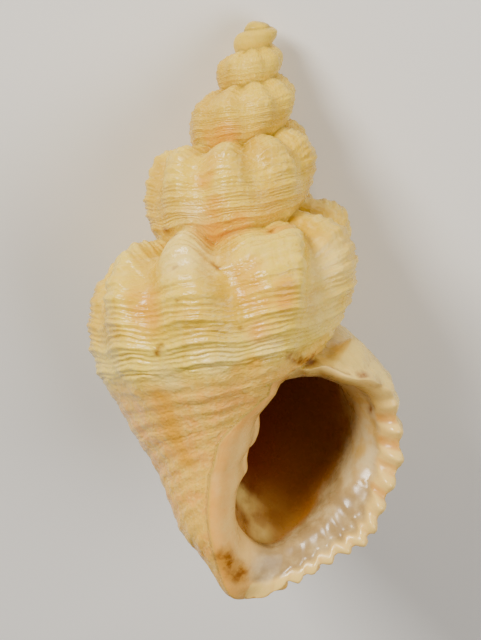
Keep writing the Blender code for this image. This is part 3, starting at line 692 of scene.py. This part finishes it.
def columella_lines(heights):
    """Inner wall of the hollow, and its edge in the aperture, for heights of the callus edge."""
    down = (heights - CALLUS_EDGE[0][0])/(TIP_HEIGHT - CALLUS_EDGE[0][0])
    wall, edge = np.array(COLUMELLA), np.array(COLUMELLA_EDGE)
    low, high = wall[0, 1], wall[-1, 1]
    height = np.clip(low + (high - low)*down, low, high)
    inner = np.stack([through(wall[:, 1], wall[:, :1], height)[:, 0], height], axis=-1)
    edge_height = edge[0, 1] + (edge[-1, 1] - edge[0, 1])*np.clip(down, 0, 1)
    return inner, along(edge, np.interp(edge_height, edge[:, 1], arc_fractions(edge)))


class Aperture:
    """Lip, callus and the hollow behind them, as rings from the open edge inwards."""

    def __init__(self, surface, indices, outline, times, side_rows, base_rows):
        self.surface = surface
        rows = indices.shape[1]
        callus_rows = list(range(rows - 2, len(side_rows) + SUTURE_ROWS - 1, -1))
        self.loop = list(indices[-1]) + [indices[0, i] for i in callus_rows]
        self.edge = np.concatenate([outline[-1], outline[0][callus_rows]])
        self.edge_times = np.concatenate([times[-1], times[0][callus_rows] + 1])
        self.edge_times[0] = 1 + ATTACH
        self.edge[rows - 1] = (0.0, TIP_HEIGHT)
        self.edge_times[rows - 1] = TIP_TIME
        callus_base_rows = base_rows[np.array(callus_rows) - len(side_rows)]
        plain = base_point(times[0][callus_rows], callus_base_rows, cords=0)
        self.plain_edge = np.concatenate([outline[-1], round_apex(plain)])

        lip_base = base_outline(np.zeros(len(base_rows)), base_rows)
        fraction = arc_fractions(np.concatenate([along(SIDE, side_rows), lip_base]))
        inner, inner_edge = columella_lines(outline[0][callus_rows][:, 1])
        self.wall = np.concatenate([along(HOLLOW_WALL, fraction), inner])
        throat = through(arc_fractions(HOLLOW_WALL), LIP_THROAT, fraction)
        self.throat = np.concatenate([throat, inner_edge])

        count = len(self.loop)
        steps = np.arange(count)
        is_lip = np.where(steps < rows, 1.0, 0.0)
        self.near_tip = np.exp(-((steps - (rows - 1))/(TIP_REACH*count))**2)
        sharp, soft = (spread(is_lip, count//part) for part in LIP_BLEND)
        self.lipness = sharp*(1 - self.near_tip) + soft*self.near_tip
        cord_line = np.concatenate([cord_place(0.0, side_rows), base_cord_place(0.0, base_rows, 0.0)])
        ridges = cord_profile(cord_line, 0.0, LIP_TOOTH_WIDTH)
        self.ridges = np.concatenate([ridges, np.zeros(count - rows)])
        (high, wide), (low, narrow) = RIM_WIDTHS
        self.rim_width = wide + (narrow - wide)*ease(self.edge[:, 1], high, low - high)

    def lip(self, f):
        """Outline points and growth times of the lip's ring, at the share f of its depth."""
        inwards = smooth(min(1.0, f/THROAT_AT)**LIP_ROUNDNESS)
        ring = self.edge + (self.throat - self.edge)*inwards
        over_rim = np.clip(f/self.rim_width/RIDGE_LENGTH, 0, 1)
        raised = LIP_RIDGES*self.ridges*np.sin(np.pi*over_rim)**RIDGE_ROUNDNESS
        times = self.edge_times*(1 - smooth(f)) - LIP_DEPTH*f**LIP_DEPTH_POWER + raised
        behind_rim = f - self.rim_width
        return ring, times - LIP_STEP*hump(behind_rim, *STEP_SPAN)

    def callus(self, f):
        """The same for the callus."""
        covering = smooth(min(1.0, f/CALLUS_SPREAD))**CALLUS_ROUNDNESS
        ring = self.plain_edge + (self.throat - self.plain_edge)*covering
        ring = ring + (self.edge - self.plain_edge)*math.exp(-(f/CORDS_UNDER_CALLUS)**2)
        crest, width = CALLUS_CREST
        thickness = CALLUS_THICKNESS*math.exp(-((f - crest)/width)**2)*(1 - ease(self.lipness, *CREST_ENDS))
        thickening = ease(self.plain_edge[:, 1], *CALLUS_THICKENS)
        thickness = thickness*(CALLUS_THIN + (1 - CALLUS_THIN)*thickening)
        sink = CANAL_SINK*ease(self.throat[:, 1], *CANAL_SINKS)
        return ring + thickness[:, None]*AWAY_FROM_AXIS, self.edge_times*(1 - f) - sink*f*f

    def add_ring(self, previous, ring, times, depth, softening):
        """Add a ring, softened near the canal's tip, and join it to the one before."""
        heights = ring[:, 1]/grown(times)
        marks = np.stack([times, heights, 0*heights, self.ridges, 0*heights + depth, self.lipness], axis=-1)
        spots = softened(place(ring, times), self.near_tip*softening, len(ring)//SOFTENED_PART)
        current = [self.surface.add(point, mark) for point, mark in zip(spots, marks)]
        self.surface.strip(previous, current, closed=True)
        return current

    def build(self):
        previous = self.loop
        share = self.lipness[:, None]
        for k in range(1, LIP_RINGS + 1):
            f = k/LIP_RINGS
            lip, lip_times = self.lip(f)
            callus, callus_times = self.callus(f)
            behind = BEHIND_THROAT*ease(f, THROAT_AT, 1 - THROAT_AT)
            ring = share*lip + (1 - share)*callus + (self.wall - self.throat)*behind
            times = self.lipness*lip_times + (1 - self.lipness)*callus_times
            previous = self.add_ring(previous, ring, times, f, smooth(f/SOFTENING_GROWS))
        inside_wall = ring - self.wall*grown(times)[:, None]
        for k in range(1, HOLLOW_RINGS + 1):
            f = k/HOLLOW_RINGS
            now = HOLLOW_END*f**HOLLOW_SPACING + times*(1 - smooth(f/RINGS_ALIGN))
            now = np.minimum(now, times - RING_GAP*k)
            fading = 1 - smooth((times - now)/THROAT_FADES)
            ring = round_apex(self.wall*grown(now)[:, None] + inside_wall*fading[:, None])
            previous = self.add_ring(previous, ring, now, 1 + f, fading)
        middle = np.mean([self.surface.points[i] for i in previous], axis=0)
        end = self.surface.add(middle, self.surface.marks[previous[0]])
        self.surface.strip(previous, [end]*len(previous), closed=True)


def shell_surface():
    """The whole closed surface in the shell's own frame, in millimetres."""
    surface = Surface()
    side = np.linspace(0.0, KNEE, SIDE_ROWS + 1)
    covered = np.concatenate([side, np.linspace(KNEE, 1.0, SUTURE_ROWS + 1)[1:]])
    start = np.linspace(0.0, SUTURE_ON_BASE, SUTURE_ROWS + 1)[1:]
    base = np.concatenate([start, np.linspace(SUTURE_ON_BASE, 1.0, BASE_ROWS + 1)[1:]])
    grid = spire(surface, covered)
    close_apex(surface, grid)
    indices, outline, times = last_turn(surface, grid, side, base)
    Aperture(surface, indices, outline, times, side, base).build()
    return surface


def in_scene(name, data):
    """A new object in the scene."""
    thing = bpy.data.objects.new(name, data)
    bpy.context.collection.objects.link(thing)
    return thing


def resting_turn():
    """Rotation that brings REST_UP to +Z and keeps the apex towards +Y."""
    up = Vector(REST_UP).normalized()
    apex = Vector((0.0, 1.0, 0.0))
    along_floor = (apex - up*apex.dot(up)).normalized()
    right = along_floor.cross(up)
    return Matrix((right, along_floor, up)).to_4x4()


def thinned(mesh, triangles):
    """The mesh thinned to about the given number of triangles."""
    helper = in_scene("thinning", mesh)
    modifier = helper.modifiers.new("Decimate", 'DECIMATE')
    modifier.ratio = triangles/len(mesh.polygons)
    graph = bpy.context.evaluated_depsgraph_get()
    result = bpy.data.meshes.new_from_object(helper.evaluated_get(graph))
    bpy.data.objects.remove(helper)
    return result


def vertices(mesh):
    corners = np.empty(3*len(mesh.vertices))
    mesh.vertices.foreach_get("co", corners)
    return corners.reshape(-1, 3)


def cut_at_floor(mesh):
    """Flat spots where the shell lies on the floor at z = 0."""
    form = bmesh.new()
    form.from_mesh(mesh)
    everything = form.verts[:] + form.edges[:] + form.faces[:]
    result = bmesh.ops.bisect_plane(form, geom=everything, plane_co=(0, 0, 0), plane_no=(0, 0, -1),
                                    clear_outer=True)
    rim = [part for part in result["geom_cut"] if isinstance(part, bmesh.types.BMEdge)]
    filled = bmesh.ops.edgeloop_fill(form, edges=rim)
    bmesh.ops.triangulate(form, faces=filled["faces"])
    bmesh.ops.recalc_face_normals(form, faces=form.faces[:])
    form.to_mesh(mesh)
    form.free()


def brushed(points, strokes):
    """1 in the middle of the strokes, fading to 0 beyond their radius, for each point."""
    share = np.zeros(len(points))
    for radius, path in strokes:
        path = np.array(path)
        for start, end in zip(path, path[1:] if len(path) > 1 else path):
            run = end - start
            nearest = np.clip((points - start) @ run/max(run @ run, 1e-9), 0, 1)[:, None]*run + start
            distance = np.linalg.norm(points - nearest, axis=1)
            share = np.maximum(share, smooth(BRUSH_EDGE*(1 - distance/(BRUSH_EDGE*radius))))
    return share


def add_marks(mesh, marks):
    for name, values in marks.items():
        attribute = mesh.attributes.new(name, 'FLOAT', 'POINT')
        attribute.data.foreach_set("value", values.astype(np.float32))


def shell_object():
    """The shell's mesh where the CAD node lies, and the step from the shell's own frame to the row's."""
    surface = shell_surface()
    fine = bpy.data.meshes.new("fine_shell")
    fine.from_pydata(surface.points, [], surface.faces)
    add_marks(fine, dict(zip(MARKS, np.array(surface.marks, float).T)))
    form = bmesh.new()
    form.from_mesh(fine)
    bmesh.ops.triangulate(form, faces=form.faces[:])
    bmesh.ops.recalc_face_normals(form, faces=form.faces[:])
    form.to_mesh(fine)
    form.free()
    mesh = thinned(fine, TRIANGLES)
    corners = vertices(mesh)
    add_marks(mesh, {name: brushed(corners, strokes) for name, strokes in STROKES.items()})
    turn = Matrix.Scale(MM, 4) @ resting_turn()
    mesh.transform(turn)
    corners = vertices(mesh)
    lowest, highest = (Vector(corner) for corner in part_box("shell"))
    middle = 0.5*(corners.min(axis=0) + corners.max(axis=0))
    shift = Vector((0.5*(lowest.x + highest.x) - middle[0], 0.5*(lowest.y + highest.y) - middle[1],
                    highest.z - corners[:, 2].max()))
    mesh.transform(Matrix.Translation(shift))
    cut_at_floor(mesh)
    mesh.name = "shell_surface"
    for polygon in mesh.polygons:
        polygon.use_smooth = True
    return in_scene("shell_surface", mesh), Matrix.Translation(shift) @ turn


class Nodes:
    """A material's nodes, with short calls for those used here."""

    def __init__(self, name):
        self.material = bpy.data.materials.new(name)
        self.material.use_nodes = True
        self.tree = self.material.node_tree
        self.shader = self.tree.nodes["Principled BSDF"]

    def put(self, socket, value):
        if isinstance(value, bpy.types.NodeSocket):
            self.tree.links.new(value, socket)
        else:
            socket.default_value = value

    def new(self, kind, **inputs):
        """A node with values or links on its inputs, and _ for a space in their names."""
        node = self.tree.nodes.new("ShaderNode" + kind)
        for name, value in inputs.items():
            self.put(node.inputs[name.replace("_", " ")], value)
        return node

    def mark(self, name):
        node = self.new("Attribute")
        node.attribute_name = name
        return node.outputs["Fac"]

    def math(self, operation, *values):
        node = self.new("Math")
        node.operation = operation
        for socket, value in zip(node.inputs, values):
            self.put(socket, value)
        return node.outputs[0]

    def between(self, value, low, high, start=0.0, end=1.0):
        """Eases from start to end as value goes from low to high."""
        node = self.new("MapRange", Value=value, From_Min=low, From_Max=high, To_Min=start, To_Max=end)
        node.interpolation_type = 'SMOOTHSTEP'
        return node.outputs["Result"]

    def mix(self, share, first, second):
        node = self.new("Mix")
        node.data_type = 'RGBA'
        for name, value in (("Factor", share), ("A", first), ("B", second)):
            self.put(node.inputs[name], value)
        return next(socket for socket in node.outputs if socket.enabled)

    def noise(self, size, detail=3.0, place=None):
        """Noise with features of about size, in millimetres."""
        place = place or self.new("TexCoord").outputs["Object"]
        node = self.new("TexNoise", Vector=place, Scale=1/(size*MM), Detail=detail, Roughness=0.55)
        return node.outputs["Fac"]

    def bump(self, height, distance, strength, normal=None):
        """Normal of a surface raised by height times the distance in millimetres."""
        node = self.new("Bump", Strength=strength, Distance=distance*MM, Height=height)
        if normal:
            self.put(node.inputs["Normal"], normal)
        return node.outputs["Normal"]

    def product(self, *shares):
        result = shares[0]
        for share in shares[1:]:
            result = self.math('MULTIPLY', result, share)
        return result

    def tint(self, colour, other, *shares):
        """The colour with another mixed in, by the product of the shares."""
        return self.mix(self.product(*shares), colour, other)

    def patchy(self, noise):
        """Uneven share from 0.3 to 0.8."""
        return self.between(noise, 0.3, 0.6, 0.3, 0.8)

    def along_spiral(self, turn, down, around, across):
        """Place on the unrolled surface, with a turn around and a unit of down across millimetres long."""
        spot = self.new("CombineXYZ", X=self.product(turn, around*MM), Y=self.product(down, across*MM))
        return spot.outputs["Vector"]


def srgb(red, green, blue):
    """Linear colour from 0-255 values as seen on a screen."""
    def linear(value):
        value = value/255
        return value/12.92 if value <= 0.04045 else ((value + 0.055)/1.055)**2.4
    return (linear(red), linear(green), linear(blue), 1.0)


CREAM = srgb(242, 202, 48)
OCHRE = srgb(218, 172, 20)
AMBER = srgb(232, 162, 22)
PALE = srgb(248, 218, 88)
PEACH = srgb(252, 180, 76)
WHITISH = srgb(252, 220, 124)
STAIN = srgb(140, 80, 12)
# darker ochre: painted shade by the sutures
SUTURE_SHADE = srgb(146, 124, 28)
GROOVE = srgb(170, 128, 22)
CALLUS = srgb(254, 208, 120)
LIP_CREAM = srgb(252, 212, 118)
LIP_BROWN = srgb(206, 138, 50)
LIP_GREY = srgb(230, 204, 146)
LIP_TAN = srgb(218, 178, 98)
LIP_DULL = srgb(168, 138, 88)
# Painted into the hollow: amber brown as painted shade past the lip, light enough to stand in for light
# through the thin lip; dark brown as painted shade deeper in; paler ochre as painted light on the canal's
# floor
HOLLOW_PAINTED_AMBER = srgb(178, 106, 12)
HOLLOW_PAINTED_SHADE = srgb(104, 34, 2)
HOLLOW_PAINTED_LIGHT = srgb(206, 160, 84)

# What age has left, and a whitish stroke of painted light low in the hollow: brush strokes of a radius
# through points, in millimetres in the shell's own frame
BRUSH_EDGE = 1.3  # how far beyond its radius a stroke fades out
STROKES = {
    "dirt": (
        (0.08, ((-0.56, -6.58, 2.51), (-0.44, -6.70, 2.64))),
        (0.07, ((-1.46, -6.86, 2.75), (-1.38, -6.71, 2.80))),
        (0.10, ((-1.70, -8.80, 2.54), (-1.63, -8.55, 2.64))),
        (0.07, ((-1.27, -7.43, 3.12),)),
        (0.07, ((-0.38, -8.05, 3.18),)),
        (0.06, ((0.19, -8.00, 2.95),)),
        (0.15, ((0.72, -5.88, 1.84),)),
        (0.16, ((-1.49, -6.16, 1.95), (-1.73, -6.17, 0.89))),
        (0.15, ((1.36, -8.68, 2.29), (1.64, -8.89, 1.75), (1.93, -8.96, 1.29))),
        (0.10, ((1.93, -8.80, 1.30), (2.22, -8.90, 1.72), (2.58, -8.99, 1.59), (2.82, -9.12, 1.47))),
        (0.13, ((3.08, -9.18, 1.31), (3.45, -9.45, 0.80), (3.55, -9.46, 0.82))),
        (0.13, ((3.50, -10.36, -0.35), (3.57, -10.26, -0.22), (3.63, -10.06, 0.0))),
        (0.07, ((3.60, -11.10, -0.65), (3.77, -11.09, -0.39))),
        (0.34, ((0.2, -14.0, 0.93), (0.42, -14.34, 0.67), (0.60, -14.5, 0.5))),
    ),
    "ochre": (
        (0.30, ((0.2, -14.0, 0.93), (0.42, -14.34, 0.67), (0.60, -14.5, 0.5))),
        (0.30, ((0.26, -9.00, 2.63), (0.47, -8.84, 2.66))),
        (0.38, ((-0.83, -6.14, 1.63), (-0.04, -5.71, 1.77))),
        (0.34, ((-0.61, -5.39, 1.85),)),
        (0.30, ((1.05, -5.65, 1.77), (0.82, -5.79, 1.88))),
        (0.34, ((-0.73, -3.87, 0.89), (-0.45, -3.70, 1.09))),
        (0.42, ((0.31, -6.73, 2.79), (0.36, -7.13, 2.90), (0.61, -7.31, 2.98))),
        (0.36, ((0.62, -8.03, 2.93),)),
        (0.45, ((-2.16, -7.61, 2.30), (-1.94, -8.05, 2.45))),
        (0.34, ((1.10, -7.00, 3.02), (1.10, -7.30, 3.02))),
        (0.32, ((-1.62, -9.87, 2.06), (-1.29, -10.78, 1.64), (-0.92, -11.51, 1.41))),
        (0.30, ((-0.88, -4.80, 1.64), (-0.7, -4.4, 1.6))),
    ),
    "white": (
        (0.45, ((-0.46, -8.85, 2.96), (-0.13, -8.78, 2.93))),
        (0.36, ((0.62, -8.06, 2.94), (0.80, -8.40, 2.77))),
        (0.62, ((2.27, -6.46, 1.59), (1.95, -6.92, 1.92), (2.09, -7.62, 1.88))),
        (0.45, ((-1.47, -9.42, 2.35),)),
        (0.75, ((-1.2, -5.9, 2.1), (-1.2, -6.4, 2.7))),
        # a whitish stroke of painted light low in the hollow, which lifts its shade
        (0.40, ((0.50, -13.0, -1.15), (0.70, -13.45, -1.5), (0.96, -13.80, -0.8))),
    ),
}

# Sizes of the noises in millimetres
PATCHES = 2.2
MOTTLES = 0.5
GRAINS = 0.12
STAIN_EDGES = 0.25
POLISH = 0.3
# and of the stretched ones: (size, length of a turn, length of a unit of down)
# the dashes raise the beads in the bump and also carry whitish painted highlights
DASHES = (0.15, 16.0, 1.0)
STREAKS = (0.5, 60.0, 0.35)
ROUGHNESS = (0.2, 0.38)  # from polished to dull
# Where a colour comes in along h, and where along the spiral, as (from, full)
WHITE_BAND = (11.6, 12.4)
PEACH_BAND = (12.9, 14.3)
# where the painted shade by the sutures comes in: above a suture on the earlier turns, and below one
# between the ribs
SUTURE_BELOW = (12.5, 13.3)
SUTURE_ABOVE = (9.0, 8.5)
KNOBS = (9.3, 8.7)
LIP_SHOULDER = (11.2, 10.2)
DULL_LIP = (11.6, 12.8)
# where the painted light on the canal's floor comes in along h
OCHRE_HOLE = (13.4, 14.9)
LAST_TURN = (-1.0, -0.87)
# earlier turns, which get the painted shade above their lower suture
EARLIER_TURNS = (-0.87, -0.95)
LIP_SHOULDER_TIME = (-0.16, -0.04)
# where the painted shade deepens along the spiral into the hollow
DARK_HOLE_TIME = (-0.05, -0.22)
# and where into the aperture, as depths
LIP_BEGINS = (0.0, 0.06)
CALLUS_PALES = (0.2, 0.5)
# depths where the painted shade of the hollow begins and deepens, and where its painted light comes in
PAINTED_SHADE_BEGINS = (0.92, 1.12)
THROAT = (0.95, 1.02)
LOW_THROAT = (0.9, 1.02)
CALLUS_SIDE = (0.6, 0.2)  # values of the lip mark


def outside_colour(n, marks, mottle, fine, dashes):
    """Cream with ochre patches, a white band and a peach base on the last turn, darker in the grooves, with
    painted shade by the sutures and painted highlights on the beads.
    """
    turn, down, rib, cord = (marks[name] for name in ("turn", "down", "rib", "cord"))
    last_turn = n.between(turn, *LAST_TURN)
    streaks = n.noise(STREAKS[0], detail=3.0, place=n.along_spiral(turn, down, *STREAKS[1:]))
    colour = n.mix(n.between(n.noise(PATCHES), 0.42, 0.58), CREAM, OCHRE)
    white_band = n.between(n.math('ADD', down, mottle), *WHITE_BAND)
    colour = n.tint(colour, PALE, white_band, last_turn, 0.75)
    peach_band = n.between(n.math('ADD', down, n.product(mottle, 1.6)), *PEACH_BAND)
    colour = n.tint(colour, PEACH, peach_band, n.between(mottle, 0.35, 0.6, 1.0, 0.55), last_turn)
    colour = n.tint(colour, PALE, n.between(rib, 0.45, 1.0), 0.25)
    colour = n.tint(colour, PALE, n.between(rib, 0.5, 0.9), n.between(down, *KNOBS), 0.5)
    lip_shoulder = n.product(n.between(turn, *LIP_SHOULDER_TIME), n.between(down, *LIP_SHOULDER))
    colour = n.tint(colour, WHITISH, lip_shoulder, 0.8)
    colour = n.tint(colour, WHITISH, n.between(streaks, 0.5, 0.7), 0.25)
    colour = n.tint(colour, OCHRE, n.between(streaks, 0.5, 0.3), 0.35)
    # painted highlights: whitish dashes on the beads along the cords
    colour = n.tint(colour, WHITISH, n.between(dashes, 0.5, 0.68), 0.35)
    colour = n.tint(colour, GROOVE, n.between(cord, 0.35, 0.0), n.between(mottle, 0.3, 0.7, 0.1, 0.4))
    # painted shade by the sutures: darker just above a suture on the earlier turns, and just below it
    # between the ribs
    above = n.product(n.between(down, *SUTURE_BELOW), n.between(turn, *EARLIER_TURNS))
    below = n.product(n.between(down, *SUTURE_ABOVE), n.between(rib, 0.5, 0.1))
    uneven_share = n.between(mottle, 0.3, 0.7, 0.15, 0.55)
    colour = n.tint(colour, SUTURE_SHADE, n.math('MAXIMUM', above, below), uneven_share)
    return n.tint(colour, GROOVE, n.between(fine, 0.6, 0.75), 0.4)


def inside_colour(n, marks, mottle):
    """The ridged rim of the lip, its grey inner zone, the callus and the dark hollow, whose amber, dark
    brown and ochre are painted shade and painted light.
    """
    turn, down, cord, depth, lip = (marks[name] for name in ("turn", "down", "cord", "depth", "lip"))
    grey = n.mix(n.between(mottle, 0.35, 0.65), LIP_GREY, LIP_TAN)
    grey = n.tint(grey, LIP_DULL, n.between(down, *DULL_LIP), n.between(mottle, 0.35, 0.6, 0.5, 1.0))
    ridged = n.tint(LIP_CREAM, LIP_BROWN, n.between(cord, 0.6, 0.1), n.patchy(mottle))
    (high, wide), (low, narrow) = RIM_WIDTHS
    behind_rim = n.math('SUBTRACT', depth, n.between(down, high, low, wide, narrow))
    colour = n.mix(n.between(behind_rim, -0.03, 0.05), ridged, grey)
    paling = n.between(n.math('ADD', depth, n.product(mottle, 0.4)), *CALLUS_PALES)
    colour = n.mix(n.between(lip, *CALLUS_SIDE), colour, n.mix(paling, PEACH, CALLUS))
    # painted shade: amber brown past the lip, which also stands in for light through the thin lip
    painted_hollow = n.between(n.math('ADD', depth, n.product(mottle, 0.16)), *PAINTED_SHADE_BEGINS)
    colour = n.mix(painted_hollow, colour, HOLLOW_PAINTED_AMBER)
    # painted shade: dark brown deeper into the hollow
    colour = n.tint(colour, HOLLOW_PAINTED_SHADE, n.between(turn, *DARK_HOLE_TIME), n.between(depth, *THROAT))
    # painted light: paler ochre low in the hollow, on the canal's floor
    painted_light_low = n.product(n.between(down, *OCHRE_HOLE), n.patchy(mottle))
    return n.tint(colour, HOLLOW_PAINTED_LIGHT, painted_light_low, n.between(depth, *LOW_THROAT))


def shell_material():
    """Aragonite: creamy, a little translucent and glossy in places, with beads along the cords and painted
    highlights on them.
    """
    n = Nodes("shell_aragonite")
    marks = {name: n.mark(name) for name in MARKS + tuple(STROKES)}
    mottle = n.noise(MOTTLES, detail=4.0)
    fine = n.noise(GRAINS, detail=4.0)
    on_spiral = n.along_spiral(marks["turn"], marks["down"], *DASHES[1:])
    dashes = n.noise(DASHES[0], detail=2.0, place=on_spiral)
    outside = outside_colour(n, marks, mottle, fine, dashes)
    colour = n.mix(n.between(marks["depth"], *LIP_BEGINS), outside, inside_colour(n, marks, mottle))
    # whitish patches, and low in the hollow a whitish stroke of painted light
    colour = n.tint(colour, WHITISH, marks["white"], n.patchy(mottle))
    colour = n.tint(colour, AMBER, marks["ochre"], n.patchy(mottle))
    ragged = n.between(n.noise(STAIN_EDGES, detail=5.0), 0.38, 0.6, 0.45, 0.95)
    colour = n.tint(colour, STAIN, marks["dirt"], ragged)

    shader = n.shader.inputs
    n.put(shader["Base Color"], colour)
    n.put(shader["Roughness"], n.between(n.noise(POLISH, detail=4.0), 0.35, 0.65, *ROUGHNESS))
    shader["Specular IOR Level"].default_value = 0.4
    shader["Subsurface Weight"].default_value = 0.12
    shader["Subsurface Radius"].default_value = (0.5, 0.32, 0.18)
    shader["Subsurface Scale"].default_value = 0.15*MM
    shader["Coat Weight"].default_value = 0.1
    shader["Coat Roughness"].default_value = 0.2
    grain = n.bump(fine, distance=0.006, strength=0.5)
    beads = n.product(n.between(dashes, 0.35, 0.7), n.between(marks["depth"], 0.1, 0.0))
    n.put(shader["Normal"], n.bump(beads, distance=0.018, strength=0.6, normal=grain))
    return n.material


def floor_object():
    """Plain pale floor."""
    form = bmesh.new()
    bmesh.ops.create_grid(form, x_segments=1, y_segments=1, size=1.0)
    mesh = bpy.data.meshes.new("floor")
    form.to_mesh(mesh)
    form.free()
    material = bpy.data.materials.new("pale_paper")
    material.use_nodes = True
    shader = material.node_tree.nodes["Principled BSDF"]
    shader.inputs["Base Color"].default_value = (0.9, 0.89, 0.87, 1.0)
    shader.inputs["Roughness"].default_value = 0.9
    mesh.materials.append(material)
    return in_scene("floor", mesh)


def photo_view(to_row):
    """Right, up and forward of the photograph's view in the row frame, and the camera's place."""
    turn = to_row.to_3x3().normalized()
    up = Vector((0.0, math.cos(CAMERA_TILT), -math.sin(CAMERA_TILT)))
    forward = Vector((0.0, -math.sin(CAMERA_TILT), -math.cos(CAMERA_TILT)))
    level = Vector((1.0, 0.0, 0.0))
    right = level*math.cos(CAMERA_ROLL) + up*math.sin(CAMERA_ROLL)
    up = up*math.cos(CAMERA_ROLL) - level*math.sin(CAMERA_ROLL)
    across = (PIVOT_PIXEL[0] - PHOTO_WIDTH/2)*MM_PER_PIXEL
    downwards = (PIVOT_PIXEL[1] - PHOTO_HEIGHT/2)*MM_PER_PIXEL
    pivot = Vector((0.0, -PIVOT_HEIGHT, 0.0))
    eye = pivot - right*across + up*downwards - forward*(CAMERA_DISTANCE_PIXELS*MM_PER_PIXEL)
    return turn @ right, turn @ up, turn @ forward, to_row @ eye


def add_camera(right, up, forward, eye):
    lens = bpy.data.cameras.new("camera")
    lens.sensor_fit = 'VERTICAL'
    lens.angle_y = 2*math.atan(0.5*PHOTO_HEIGHT/CAMERA_DISTANCE_PIXELS)
    lens.clip_start = 5*MM
    lens.clip_end = 5.0
    camera = in_scene("camera", lens)
    camera.matrix_world = Matrix.Translation(eye) @ Matrix((right, up, -forward)).transposed().to_4x4()
    bpy.context.scene.camera = camera


LAMP_AIM_HEIGHT = 3.0  # the middle of the shell


def add_softbox(name, direction, distance, size, power, colour):
    """A square lamp that looks at the shell from a direction. Distance and size are in millimetres."""
    lamp = bpy.data.lights.new(name, 'AREA')
    lamp.shape = 'SQUARE'
    lamp.size = size*MM
    lamp.energy = power
    lamp.color = colour
    direction = Vector(direction).normalized()
    holder = in_scene(name, lamp)
    holder.location = direction*distance*MM + Vector((0.0, 0.0, LAMP_AIM_HEIGHT*MM))
    holder.rotation_euler = (-direction).to_track_quat('-Z', 'Y').to_euler()


def add_sky(strength):
    world = bpy.data.worlds.new("studio")
    bpy.context.scene.world = world
    world.use_nodes = True
    background = world.node_tree.nodes["Background"]
    background.inputs["Color"].default_value = (1.0, 0.98, 0.95, 1.0)
    background.inputs["Strength"].default_value = strength


shell, to_row = shell_object()
shell.data.materials.append(shell_material())
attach(shell, "root")
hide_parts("shell")

floor_object()
right, up, forward, eye = photo_view(to_row)
add_camera(right, up, forward, eye)
add_softbox("key", -0.75*right + 0.5*up - 1.1*forward, distance=110, size=36, power=0.175,
            colour=(1.0, 0.95, 0.86))
add_softbox("fill", 0.9*right - 0.3*up - forward, distance=80, size=60, power=0.05,
            colour=(1.0, 0.95, 0.88))
add_sky(0.12)
